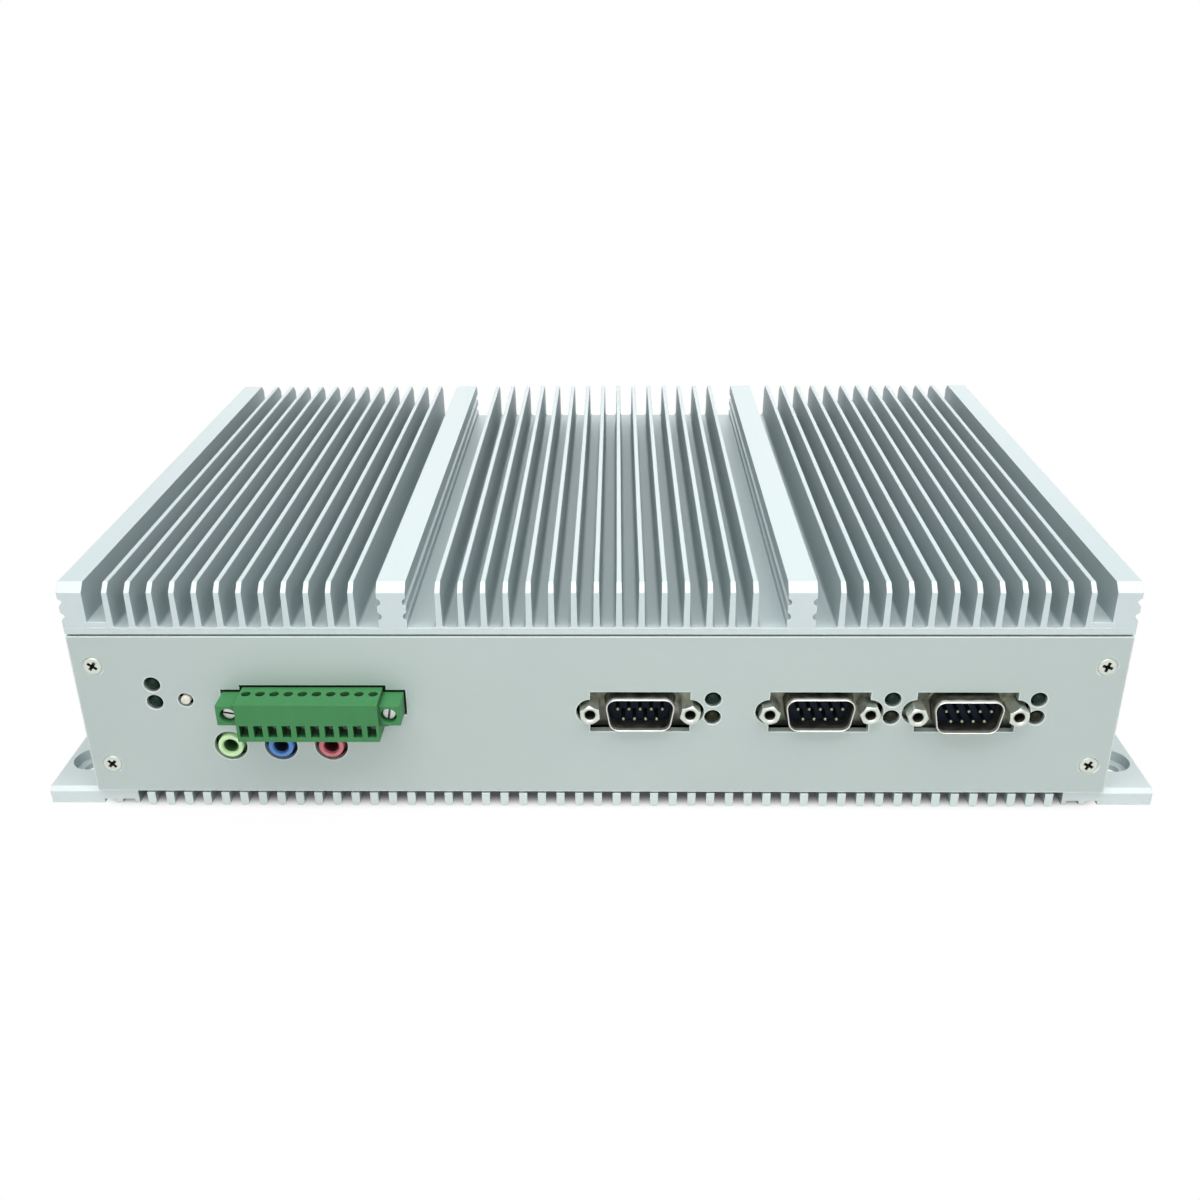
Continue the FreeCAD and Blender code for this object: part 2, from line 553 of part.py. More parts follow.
def d_opening(body, name, across, height):
    """The opening for a D-shaped socket: a rectangle with a round ear about each jackscrew."""
    middle = sketch(body, name)
    rectangle(middle, across, height, "cutout_width", "cutout_height")
    pocket(body, middle)
    for side in (1, -1):
        ear = sketch(body, f"{name}_ear_{side + 2}")
        ring(ear, f"{across} + {side} * jackscrew_spacing / 2", height, "cutout_ear_radius")
        pocket(body, ear)


def front_panel():
    """The socket panel with its openings."""
    body = plain_panel("front_panel", FRONT_END, "front")
    for number, across in enumerate(SERIAL_PLACES, start=1):
        d_opening(body, f"serial_opening_{number}", across, "serial_height")
    rounds = sketch(body, "round_openings")
    for across, height in LIGHTS:
        ring(rounds, across, height, "light_radius + light_clearance")
    ring(rounds, "button_across", "button_height", "button_hole_radius")
    for number in range(3):
        ring(rounds, f"jack_first + {number} * jack_pitch", JACK_HEIGHT, "jack_hole_radius")
    pocket(body, rounds)
    terminal = sketch(body, "terminal_opening")
    header_outline(terminal, "terminal_across", "terminal_height", "header_clearance")
    pocket(body, terminal)


def rear_panel():
    """The supply and network panel with its openings, in its own rear view."""
    body = plain_panel("rear_panel", REAR_END, "rear")
    d_opening(body, "video_opening", "video_across", VIDEO_HEIGHT)
    openings = sketch(body, "rear_openings")
    boxes = [("inlet_across", "inlet_width", "inlet_height")]
    boxes += [(f"network_across - {number} * network_pitch", "network_width", "network_height")
              for number in range(2)]
    boxes += [(f"usb_across - {number} * usb_pitch", "usb_width", "usb_height") for number in range(2)]
    for across, width, height in boxes:
        rectangle(openings, across, f"{BOARD_TOP} + {height} / 2", f"{width} + 2 * socket_clearance",
                  f"{height} + 2 * socket_clearance")
    pocket(body, openings)


# ---- Fasteners ----

def cross(level):
    """The cross recess of a screw head."""
    slots = []
    for width, depth in (("cross_span", "cross_width"), ("cross_width", "cross_span")):
        slots.append(block((f"-{width} / 2", f"-{depth} / 2", f"{level} - cross_depth"),
                           (width, depth, "2 * cross_depth")))
    return fused(*slots)


def flat_screw(length):
    """A countersunk screw, its face at its own zero."""
    head = cone("screw_radius", "flat_head_radius", "flat_head_radius - screw_radius",
                z="screw_radius - flat_head_radius")
    return cut(fused(head, rod("screw_radius", length, z=f"-({length})")), cross("0"))


def pan_screw(length, head="pan_head_radius"):
    """A cylinder-head screw, the underside of its head at its own zero."""
    solid = fused(rod(head, "pan_head_height"), rod("screw_radius", length, z=f"-({length})"))
    return cut(solid, cross("pan_head_height"))


def panel_screws(label, end, facing, turns):
    """Four flat screws of one panel, each left at its own turn."""
    screws = []
    for side in (1, -1):
        for height in ("panel_screw_low", "panel_screw_high"):
            screw = flat_screw("panel_screw_length")
            screws.append(place(screw, f"{side} * {PANEL_SCREW_ACROSS}", end, height, facing,
                                turns[len(screws)]))
    node(group(screws), label)


def case_screws():
    """The screws that hold the heat sink down and the base up on the two side walls."""
    sink, base = [], []
    for side in (1, -1):
        for end in (1, -1):
            screw = pan_screw("rim_floor - sink_underside + lip_thickness", "sink_head_radius")
            sink.append(place(screw, f"{side} * {SINK_SCREW_ACROSS}", f"{end} * sink_screw_along",
                              "rim_floor", "up", 20 + 35 * side * end))
            screw = flat_screw("case_floor + lip_thickness - strip_groove_depth")
            base.append(place(screw, f"{side} * {BASE_SCREW_ACROSS}", f"{end} * base_screw_along",
                              "strip_groove_depth", "down", 15 * end))
    node(group(sink), "heatsink_screws")
    node(group(base), "base_screws")


# ---- Serial and video sockets ----

def d_outline(drawing, inset="0"):
    """The D section about its middle: wider above than below, with rounded corners."""
    half = f"(shell_middle / 2 - ({inset}) / cos(shell_slope))"
    tall = f"(shell_height / 2 - ({inset}))"
    bend = f"(shell_radius - ({inset}))"
    top, foot = f"({half} + {tall} * tan(shell_slope))", f"({half} - {tall} * tan(shell_slope))"
    sharp, blunt = f"({bend} * tan(45 + shell_slope / 2))", f"({bend} * tan(45 - shell_slope / 2))"
    right = [
        (f"{foot} - {blunt}", f"-{tall}", bend, 1),
        (f"{foot} + {blunt} * sin(shell_slope)", f"-{tall} + {blunt} * cos(shell_slope)"),
        (f"{top} - {sharp} * sin(shell_slope)", f"{tall} - {sharp} * cos(shell_slope)", bend, 1),
        (f"{top} - {sharp}", tall),
    ]
    left = [(f"-({right[3][0]})", right[3][1], bend, 1), (f"-({right[2][0]})", right[2][1]),
            (f"-({right[1][0]})", right[1][1], bend, 1), (f"-({right[0][0]})", right[0][1])]
    outline(drawing, right + left)


def d_shell(label, across, end, height, facing):
    """A plated steel shell: an eared flange behind the panel and a D-shaped tube out through it."""
    body = new_body(label, across, end, height, facing)
    flange = sketch(body, label + "_flange")
    rounded(flange, "ear_width", "ear_height", "ear_radius")
    pad(body, flange, "ear_thickness", "down")
    tube = sketch(body, label + "_tube")
    d_outline(tube)
    pad(body, tube, "shell_reach")
    inside = sketch(body, label + "_inside")
    d_outline(inside, "shell_wall")
    pocket(body, inside)
    holes = sketch(body, label + "_holes")
    for side in (1, -1):
        ring(holes, f"{side} * jackscrew_spacing / 2", "0", "screw_radius + thread_clearance")
    pocket(body, holes)


def rounded(drawing, width, height, radius):
    """A rectangle about the origin with rounded corners."""
    across, up = f"({width}) / 2", f"({height}) / 2"
    outline(drawing, [
        (f"-{across} + {radius}", f"-{up}"), (f"{across} - {radius}", f"-{up}", radius, 1),
        (across, f"-{up} + {radius}"), (across, f"{up} - {radius}", radius, 1),
        (f"{across} - {radius}", up), (f"-{across} + {radius}", up, radius, 1),
        (f"-{across}", f"{up} - {radius}"), (f"-{across}", f"-{up} + {radius}", radius, 1),
    ])


def pin_row(count, shift, pitch, up):
    """Where the pins of one row stand."""
    return [(f"({number} - {count - 1} / 2 + ({shift})) * {pitch}", up) for number in range(count)]


SERIAL_PINS = pin_row(5, 0, "pin_pitch", "pin_row_gap / 2") + pin_row(4, 0, "pin_pitch", "-pin_row_gap / 2")
VIDEO_PINS = [spot for level, shift in ((1, -0.25), (0, 0.25), (-1, -0.25))
              for spot in pin_row(5, shift, "video_pitch", f"{level} * video_row_gap")]


def insulator(label, across, end, height, facing, reach, depth, foot, spots):
    """The moulded block that holds the pins, with a D-shaped nose in the shell and ears for the screws."""
    body = new_body(label, across, end, height, facing)
    nose = sketch(body, label + "_nose", shift="-ear_thickness")
    d_outline(nose, "shell_wall + pin_clearance")
    pad(body, nose, f"ear_thickness + {reach}")
    back = sketch(body, label + "_back", shift="-ear_thickness")
    rectangle(back, "0", f"(insulator_height / 2 - {foot}) / 2", "insulator_width",
              f"insulator_height / 2 + {foot}")
    pad(body, back, f"{depth} - ear_thickness", "down")
    holes = sketch(body, label + "_holes")
    for across_pin, up_pin in spots:
        ring(holes, across_pin, up_pin, "pin_radius + pin_clearance")
    for side in (1, -1):
        ring(holes, f"{side} * jackscrew_spacing / 2", "0", "screw_radius + thread_clearance")
    pocket(body, holes)


def jackscrew():
    """A hexagonal post with a threaded bore, its foot at its own zero."""
    post = doc.addObject("Part::Prism", "Post")
    post.Polygon = 6
    bind(post, "Circumradius", "jackscrew_across / 2 / cos(30)")
    bind(post, "Height", "jackscrew_reach")
    shank = rod("screw_radius", "jackscrew_shank", z="-jackscrew_shank")
    bore = rod("jackscrew_bore", "2 * jackscrew_bore_depth", z="jackscrew_reach - jackscrew_bore_depth")
    return cut(fused(post, shank), bore)


def jackscrews(label, places, height, facing):
    """Two posts for each socket, given its place across and the place of its flange."""
    posts = []
    for across, end in places:
        for side in (1, -1):
            posts.append(place(jackscrew(), f"{across} + {side} * jackscrew_spacing / 2", end, height, facing,
                               17 + 19 * len(posts)))
    node(group(posts), label)


def pin(radius, length, x, y, z):
    """A round pin with a blunt point, standing on its foot."""
    return fused(rod(radius, f"{length} - pin_point", x, y, z),
                 cone(radius, f"{radius} / 2", "pin_point", x, y, f"{z} + {length} - pin_point"))


def serial_sockets():
    """The three sockets of the front panel, their flanges a little behind it."""
    places = []
    for number, (across, behind) in enumerate(zip(SERIAL_PLACES, ["socket_set", "socket_set", "third_set"]), 1):
        end = f"{FRONT_END} + {behind}"
        places.append((across, end))
        spot = (across, end, "serial_height", "front")
        depth = f"(front_board_gap - {behind})"
        tail = f"-({depth} + board_thickness + pin_tail)"
        d_shell(f"serial_shell_{number}", *spot)
        insulator(f"serial_insulator_{number}", *spot, "insulator_reach", depth, "insulator_height / 2",
                  SERIAL_PINS)
        pins = [pin("pin_radius", f"pin_reach - ({tail})", x, y, tail) for x, y in SERIAL_PINS]
        node(group(pins), f"serial_pins_{number}", *spot)
    jackscrews("serial_jackscrews", places, "serial_height", "front")


def video_socket():
    """The video socket of the rear panel, whose contacts are holes in a full insulator."""
    spot = ("-video_across", REAR_END, VIDEO_HEIGHT, "rear")
    d_shell("video_shell", *spot)
    insulator("video_insulator", *spot, "shell_reach - video_face_set", "front_board_gap", "video_rise",
              VIDEO_PINS)
    jackscrews("video_jackscrews", [("-video_across", REAR_END)], VIDEO_HEIGHT, "rear")


# ---- Lights and button ----

def lights(label, spots):
    """Round-nosed lamps, each standing on the front board and reaching just through the panel."""
    lamps = []
    for across, height in spots:
        middle = "panel_thickness + light_proud - light_radius"
        stem = rod("light_radius", f"{middle} + front_board_gap", z="-front_board_gap")
        lamps.append(place(fused(stem, ball("light_radius", z=middle)), across, FRONT_END, height, "front"))
    node(group(lamps), label)


def button():
    """A push button: a collared plunger in the chamber of its switch."""
    collar_foot = "(switch_depth - switch_wall - button_clearance - button_collar_height - front_board_gap)"
    stem = rod("button_radius", f"panel_thickness + button_proud - {collar_foot}", z=collar_foot)
    collar = rod("button_radius + button_collar", "button_collar_height", z=collar_foot)
    node(fused(stem, collar), "front_button", "button_across", FRONT_END, "button_height", "front")
    case = block(("-switch_width / 2", "-switch_width / 2", "-front_board_gap"),
                 ("switch_width", "switch_width", "switch_depth"))
    mouth = rod("button_radius + button_clearance", "switch_depth", z="switch_wall - front_board_gap")
    chamber = rod("button_radius + button_collar + button_clearance", "switch_chamber",
                  z="switch_depth - front_board_gap - switch_wall - switch_chamber")
    node(cut(case, mouth, chamber), "button_switch", "button_across", FRONT_END, "button_height", "front")


# ---- Sound sockets ----

def sound_sockets():
    """Three round sockets that stand on the main board, each with a coloured ring in the panel."""
    for number, label in enumerate(("line_out_jack", "line_in_jack", "microphone_jack")):
        case = block(("-jack_width / 2", "-jack_rise", "-jack_depth"),
                     ("jack_width", "2 * jack_rise", "jack_depth - pin_clearance"))
        front = "panel_thickness + jack_proud"
        nose = rod("jack_ring_radius", f"{front} + jack_depth / 2", z="-jack_depth / 2")
        bore = rod("jack_bore_radius", "jack_bore_depth", z=f"{front} - jack_bore_depth")
        mouth = cone("jack_bore_radius", "jack_bore_radius + jack_mouth", "jack_mouth",
                     z=f"{front} - jack_mouth")
        across = f"jack_first + {number} * jack_pitch"
        node(cut(fused(case, nose), bore, mouth), label, across, FRONT_END, JACK_HEIGHT, "front")


# ---- Terminal block ----

def header_outline(drawing, across, height, extra="0"):
    """The header's section: a block with an ear at each side for the flange screw, grown by a clearance."""
    half, tall = f"(header_width / 2 + {extra})", f"(header_height / 2 + {extra})"
    ear, foot, head = f"(ear_span / 2 + {extra})", f"(ear_foot - {extra})", f"(ear_head + {extra})"
    right = [(half, f"-{tall}"), (half, foot), (ear, foot), (ear, head), (half, head), (half, tall)]
    outline(drawing, [(f"{across} + ({x})", f"{height} + ({z})") for x, z in mirrored(right)])


def way(number):
    """How far one wire's way is from the middle of the terminal block."""
    return f"({number} - (terminal_ways - 1) / 2) * terminal_pitch"


TERMINAL = ("terminal_across", FRONT_END, "terminal_height", "front")
NOSE_WIDTH = "(terminal_ways * terminal_pitch - 2 * nose_inset)"
PLUG_BACK = "(header_reach + plug_gap)"
WAYS = range(int(SIZES["terminal_ways"]))


def terminal_header():
    """The socket half on the front board: an open-fronted trough with its pins."""
    body = new_body("terminal_header", *TERMINAL)
    case = sketch(body, "header_case", shift="-front_board_gap")
    header_outline(case, "0", "0")
    pad(body, case, "front_board_gap + header_reach")
    cavity = sketch(body, "header_cavity", shift="header_reach")
    rectangle(cavity, "0", "0", f"{NOSE_WIDTH} + 2 * nose_clearance", "cavity_height")
    pocket(body, cavity, "cavity_depth")
    inserts = sketch(body, "header_inserts", shift="header_reach")
    for side in (1, -1):
        ring(inserts, f"{side} * flange_screw_spacing / 2", "flange_screw_rise",
             "flange_screw_shank + thread_clearance")
    pocket(body, inserts, "cavity_depth")
    sockets = sketch(body, "header_pin_holes")
    for number in WAYS:
        ring(sockets, way(number), "header_pin_rise", "header_pin_radius + pin_clearance")
    pocket(body, sockets)
    tail = "-(front_board_gap + board_thickness + pin_tail)"
    pins = [pin("header_pin_radius", f"header_pin_reach - ({tail})", way(number), "header_pin_rise", tail)
            for number in WAYS]
    node(group(pins), "terminal_pins", *TERMINAL)


def terminal_plug():
    """The plug half: a moulded block with a wire opening and a screw recess for each way, and two wings."""
    body = new_body("terminal_plug", *TERMINAL)
    wings = sketch(body, "plug_wings", shift=PLUG_BACK)
    rectangle(wings, "0", "(wing_head + wing_foot) / 2", "wing_width", "wing_head - wing_foot")
    pad(body, wings, f"wing_reach - {PLUG_BACK}")
    case = sketch(body, "plug_case", shift=PLUG_BACK)
    rectangle(case, "0", "0", "terminal_ways * terminal_pitch", "plug_height")
    pad(body, case, f"plug_reach - {PLUG_BACK}")
    nose = sketch(body, "plug_nose", shift=PLUG_BACK)
    rectangle(nose, "0", "0", NOSE_WIDTH, "cavity_height - 2 * nose_clearance")
    pad(body, nose, "nose_depth + plug_gap", "down")
    openings = sketch(body, "wire_openings", shift="plug_reach")
    contacts = sketch(body, "contact_holes")
    for number in WAYS:
        rectangle(openings, way(number), "wire_hole_rise", "wire_hole_width", "wire_hole_height")
        ring(contacts, way(number), "header_pin_rise", "header_pin_radius + 2 * pin_clearance")
    pocket(body, openings, "wire_hole_depth")
    pocket(body, contacts)
    recesses = sketch(body, "screw_recesses", "XZ", "-plug_height / 2")
    for number in WAYS:
        ring(recesses, way(number), "recess_reach", "recess_radius")
    pocket(body, recesses, "plug_height / 2 - wire_hole_rise - wire_hole_height / 2", "up")
    seats = sketch(body, "wing_seats", shift="wing_reach")
    holes = sketch(body, "wing_holes")
    for side in (1, -1):
        spot = (f"{side} * flange_screw_spacing / 2", "flange_screw_rise")
        ring(seats, *spot, "wing_seat_radius")
        ring(holes, *spot, "flange_screw_shank + screw_clearance")
    pocket(body, seats, "flange_screw_sunk + flange_screw_height")
    pocket(body, holes)


def terminal_fittings():
    """The metal inside the plug: a cage for each wire, the screw over it and the two flange screws."""
    cages, screws, flange = [], [], []
    cage_foot = "plug_reach - wire_hole_depth"
    cage_width = "(wire_hole_width - 2 * clamp_clearance)"
    cage_height = "(wire_hole_height - 2 * clamp_clearance)"
    screw_length = "plug_height / 2 - clamp_screw_sunk - wire_hole_rise - wire_hole_height / 2"
    for number in WAYS:
        middle = way(number)
        shell = block((f"{middle} - {cage_width} / 2", f"wire_hole_rise - {cage_height} / 2", cage_foot),
                      (cage_width, cage_height, "clamp_depth"))
        hole = block((f"{middle} - {cage_width} / 2 + clamp_wall",
                      f"wire_hole_rise - {cage_height} / 2 + clamp_wall", f"{cage_foot} - clamp_wall"),
                     (f"{cage_width} - 2 * clamp_wall", f"{cage_height} - 2 * clamp_wall",
                      "clamp_depth + 2 * clamp_wall"))
        cages.append(cut(shell, hole))
        screw = rod("clamp_screw_radius", screw_length)
        slot = block(("-recess_radius", "-slot_width / 2", f"{screw_length} - slot_width"),
                     ("2 * recess_radius", "slot_width", "2 * slot_width"))
        screws.append(place(cut(screw, slot), middle, "wire_hole_rise + wire_hole_height / 2", "recess_reach",
                            "rear", 70 + 37 * number))
    node(group(cages), "wire_clamps", *TERMINAL)
    node(group(screws), "wire_clamp_screws", *TERMINAL)
    for side in (1, -1):
        head = rod("flange_screw_head", "flange_screw_height")
        shank = rod("flange_screw_shank", "flange_screw_length", z="-flange_screw_length")
        slot = block(("-flange_screw_head", "-slot_width / 2", "flange_screw_height - slot_depth"),
                     ("2 * flange_screw_head", "slot_width", "2 * slot_depth"))
        screw = place(cut(fused(head, shank), slot), f"{side} * flange_screw_spacing / 2", "flange_screw_rise",
                      "wing_reach - flange_screw_sunk - flange_screw_height", "up", 35 + 45 * side)
        flange.append(screw)
    node(group(flange), "plug_flange_screws", *TERMINAL)


# ---- Boards ----

def main_board():
    """The main board on its standoffs, from the front sockets to the rear ones."""
    body = new_body("main_board", z="board_height")
    plate = sketch(body, "main_board_outline")
    rectangle(plate, "0", "0", "board_width", "case_length - 2 * board_edge_gap")
    pad(body, plate, "board_thickness")
    holes = sketch(body, "main_board_holes")
    for across, along in STANDOFFS:
        ring(holes, across, along, "screw_radius + screw_clearance")
    pocket(body, holes)
    posts = []
    for across, along in STANDOFFS:
        post = rod("standoff_radius", "board_height - case_floor")
        bore = rod("screw_radius + thread_clearance", "board_height - case_floor")
        posts.append(place(cut(post, bore), across, along, "case_floor"))
    node(group(posts), "board_standoffs")


def front_board():
    """The upright board behind the front panel, and the connector that joins it to the main board."""
    body = new_body("front_board", y=f"-{FRONT_BOARD}", facing="front")
    plate = sketch(body, "front_board_outline")
    rectangle(plate, "0", "(front_board_head + front_board_foot) / 2", "front_board_width",
              "front_board_head - front_board_foot")
    pad(body, plate, "board_thickness", "down")
    holes = sketch(body, "front_board_holes")
    for across in SERIAL_PLACES:
        for x, y in SERIAL_PINS:
            ring(holes, f"{across} + {x}", f"serial_height + ({y})", "pin_radius + pin_clearance")
    for number in WAYS:
        ring(holes, f"terminal_across + {way(number)}", "terminal_height + header_pin_rise",
             "header_pin_radius + pin_clearance")
    pocket(body, holes)
    back = f"-{FRONT_BOARD} + board_thickness"
    link = block(("0", "0", "0"), ("link_width", "link_depth", "link_height"))
    node(link, "board_link", "link_across - link_width / 2", back, BOARD_TOP)


def inner_screws():
    """The small screws inside: into the standoffs, and up into the heat sink."""
    screws = []
    for across, along in STANDOFFS:
        screws.append(place(pan_screw("short_screw_length"), across, along, BOARD_TOP, "up"))
    for across, along in BLOCK_SCREWS:
        screws.append(place(pan_screw("block_screw_length"), across, along,
                            "sink_underside - block_flange_height", "down"))
    for across, along in BRACKET_SCREWS:
        screw = pan_screw("block_screw_length - block_flange_height + bracket_plate")
        screws.append(place(screw, across, along, "sink_underside - bracket_plate", "down"))
    node(group(screws), "inner_screws")


# ---- Processor, memory, cell and drive ----

def processor():
    """The processor, the paste on it and the block that carries its heat to the top."""
    across, along = "chip_across - chip_width / 2", "chip_along - chip_width / 2"
    chip = block(("0", "0", "0"), ("chip_width", "chip_width", "chip_height"))
    node(chip, "processor", across, along, BOARD_TOP)
    paste = block(("0", "0", "0"), ("chip_width", "chip_width", "paste_height"))
    node(paste, "processor_paste", across, along, f"{BOARD_TOP} + chip_height")
    foot = f"({BOARD_TOP} + chip_height + paste_height)"
    body = new_body("heat_block", "chip_across", "chip_along", foot)
    column = sketch(body, "block_column")
    rectangle(column, "0", "0", "block_width", "block_depth")
    pad(body, column, f"sink_underside - {foot}")
    flange = sketch(body, "block_flange_outline", shift=f"sink_underside - block_flange_height - {foot}")
    rectangle(flange, "0", "0", "block_width + 2 * block_flange", "block_depth")
    pad(body, flange, "block_flange_height")
    holes = sketch(body, "block_holes")
    for screw_across, screw_along in BLOCK_SCREWS:
        ring(holes, f"{screw_across} - chip_across", f"{screw_along} - chip_along",
             "screw_radius + screw_clearance")
    pocket(body, holes)


def memory():
    """A memory module lying in its socket."""
    low = "memory_along - memory_socket_depth / 2"
    module = block(("0", "0", "0"), ("memory_width", "memory_depth", "memory_thickness"))
    node(module, "memory_module", "memory_across - memory_width / 2", "memory_along",
         f"{BOARD_TOP} + memory_rise")
    case = block(("memory_across - memory_socket_width / 2", low, BOARD_TOP),
                 ("memory_socket_width", "memory_socket_depth", "memory_socket_height"))
    slot = block(("memory_across - memory_width / 2 - cell_slack", "memory_along - cell_slack",
                  f"{BOARD_TOP} + memory_rise - cell_slack"),
                 ("memory_width + 2 * cell_slack", "memory_socket_depth", "memory_thickness + 2 * cell_slack"))
    node(cut(case, slot), "memory_socket")


def clock_cell():
    """The clock's coin cell in its round holder."""
    holder = rod("cell_radius + cell_slack + cell_holder_wall", "cell_holder_floor + cell_height")
    well = rod("cell_radius + cell_slack", "2 * cell_height", z="cell_holder_floor")
    node(cut(holder, well), "cell_holder", "cell_across", "cell_along", BOARD_TOP)
    cell = rod("cell_radius", "cell_height")
    node(cell, "coin_cell", "cell_across", "cell_along", f"{BOARD_TOP} + cell_holder_floor")


def drive():
    """The drive in the bent bracket that hangs under the heat sink, and the riser that connects it."""
    body = new_body("drive_bracket", "drive_across", "drive_along", "sink_underside")
    section = sketch(body, "bracket_section", "XZ")
    outside = f"({BRACKET_SIDE} + bracket_plate)"
    outline(section, mirrored([
        (outside, "-bracket_drop"), (outside, "-bracket_plate"), (f"{outside} + bracket_lip", "-bracket_plate"),
        (f"{outside} + bracket_lip", "0"), (BRACKET_SIDE, "0"),
        (BRACKET_SIDE, "bracket_plate - bracket_drop"),
    ]))
    pad(body, section, "drive_length", "both")
    holes = sketch(body, "bracket_holes")
    for across, along in BRACKET_SCREWS:
        ring(holes, f"{across} - drive_across", f"{along} - drive_along", "screw_radius + screw_clearance")
    for side in (1, -1):
        for end in (1, -1):
            ring(holes, f"{side} * drive_screw_across / 2", f"{end} * drive_screw_along / 2",
                 "screw_radius + screw_clearance")
    pocket(body, holes)
    case = block(("drive_across - drive_width / 2", "drive_along - drive_length / 2", DRIVE_FOOT),
                 ("drive_width", "drive_length", "drive_height"))
    threads, screws = [], []
    for side in (1, -1):
        for end in (1, -1):
            spot = (f"drive_across + {side} * drive_screw_across / 2",
                    f"drive_along + {end} * drive_screw_along / 2")
            threads.append(rod("screw_radius + thread_clearance", "drive_screw_depth + thread_end", *spot,
                               DRIVE_FOOT))
            screws.append(place(pan_screw("bracket_plate + drive_screw_depth"), *spot,
                                f"{DRIVE_FOOT} - bracket_plate", "down"))
    node(cut(case, *threads), "storage_drive")
    node(group(screws), "drive_screws")
    board = block(("0", "0", "0"), ("riser_width", "board_thickness",
                                    f"{DRIVE_FOOT} + drive_height - {BOARD_TOP}"))
    node(board, "drive_riser", "drive_across - riser_width / 2", "drive_along + drive_length / 2 + riser_gap",
         BOARD_TOP)


def supply_parts():
    """The capacitors and coils of the supply, on the main board."""
    cans = [rod("capacitor_radius", "capacitor_height", f"capacitor_across + {number} * capacitor_pitch",
                "capacitor_along", BOARD_TOP) for number in range(4)]
    node(group(cans), "capacitors")
    coils = [block((f"coil_across - {number} * coil_pitch", "coil_along", BOARD_TOP),
                   ("coil_width", "coil_width", "coil_height")) for number in range(3)]
    node(group(coils), "supply_coils")


# ---- Rear sockets, each in the rear view ----

def open_case(across, width, height, depth, mouths):
    """A socket's shell on the main board, reaching out through the panel, less its mouths."""
    case = block((f"{across} - {width} / 2", BOARD_TOP, f"socket_reach - {depth}"), (width, height, depth))
    return cut(case, *mouths)


def rear_sockets():
    """The supply inlet, two network sockets and two pairs of serial bus sockets."""
    rear = ("0", REAR_END, "0", "rear")
    middle = f"{BOARD_TOP} + inlet_height / 2"
    bore = rod("inlet_bore", "2 * inlet_bore_depth", "inlet_across", middle, "socket_reach - inlet_bore_depth")
    node(open_case("inlet_across", "inlet_width", "inlet_height", "inlet_depth", [bore]), "power_inlet", *rear)
    node(rod("inlet_pin", "inlet_bore_depth - inlet_pin_set"), "power_inlet_pin", "-inlet_across",
         f"{REAR_END} + socket_reach - inlet_bore_depth", middle, "rear")
    networks = []
    for number in range(2):
        across = f"(network_across - {number} * network_pitch)"
        mouth = block((f"{across} - network_mouth_width / 2", f"{BOARD_TOP} + network_mouth_rise",
                       "socket_reach - network_mouth_depth"),
                      ("network_mouth_width", "network_mouth_height", "2 * network_mouth_depth"))
        networks.append(open_case(across, "network_width", "network_height", "network_depth", [mouth]))
    node(group(networks), "network_sockets", *rear)
    shells, tongues = [], []
    for number in range(2):
        across = f"(usb_across - {number} * usb_pitch)"
        mouths = []
        for level in range(2):
            foot = f"({BOARD_TOP} + usb_first_level + {level} * usb_level_gap)"
            inner = "socket_reach - usb_mouth_depth"
            mouths.append(block((f"{across} - usb_width / 2 + usb_wall", foot, inner),
                                ("usb_width - 2 * usb_wall", "usb_mouth_height", "2 * usb_mouth_depth")))
            tongue_foot = f"{foot} + (usb_mouth_height - usb_tongue_height) / 2"
            tongues.append(block((f"{across} - usb_tongue_width / 2", tongue_foot, inner),
                                 ("usb_tongue_width", "usb_tongue_height", "usb_tongue_length")))
        shells.append(open_case(across, "usb_width", "usb_height", "usb_depth", mouths))
    node(group(shells), "usb_shells", *rear)
    node(group(tongues), "usb_tongues", *rear)


# ---- The whole ----

top_heatsink()
bottom_base()
side_wall("right_side_wall", 1)
side_wall("left_side_wall", -1)
front_panel()
rear_panel()
panel_screws("front_panel_screws", FRONT_FACE, "front", (28, -14, 40, 12))
panel_screws("rear_panel_screws", REAR_FACE, "rear", (5, 33, -20, 48))
case_screws()
serial_sockets()
video_socket()
lights("status_lights", LIGHTS[:2])
lights("send_lights", LIGHTS[2:5])
lights("receive_lights", LIGHTS[5:])
button()
sound_sockets()
terminal_header()
terminal_plug()
terminal_fittings()
main_board()
front_board()
inner_screws()
processor()
memory()
clock_cell()
drive()
supply_parts()
rear_sockets()
doc.recompute()

for thing in doc.Objects:
    if "Invalid" in thing.State or "Error" in thing.State:
        raise RuntimeError(f"{thing.Label} did not build: {thing.State}")
os.makedirs("parts", exist_ok=True)
for piece in nodes:
    if piece.Shape.isNull() or not piece.Shape.isValid():
        raise RuntimeError(f"{piece.Label} has no sound shape")
    piece.Shape.exportStep(f"parts/{piece.Label}.step")
    corner = piece.Shape.BoundBox
    print(f"{piece.Label:22s} {len(piece.Shape.Solids):2d} solids {piece.Shape.Volume:10.1f} mm3",
          f"x {corner.XMin:.2f} {corner.XMax:.2f}  y {corner.YMin:.2f} {corner.YMax:.2f}",
          f" z {corner.ZMin:.2f} {corner.ZMax:.2f}")
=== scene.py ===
import math

import bmesh
import bpy
from mathutils import Matrix, Vector


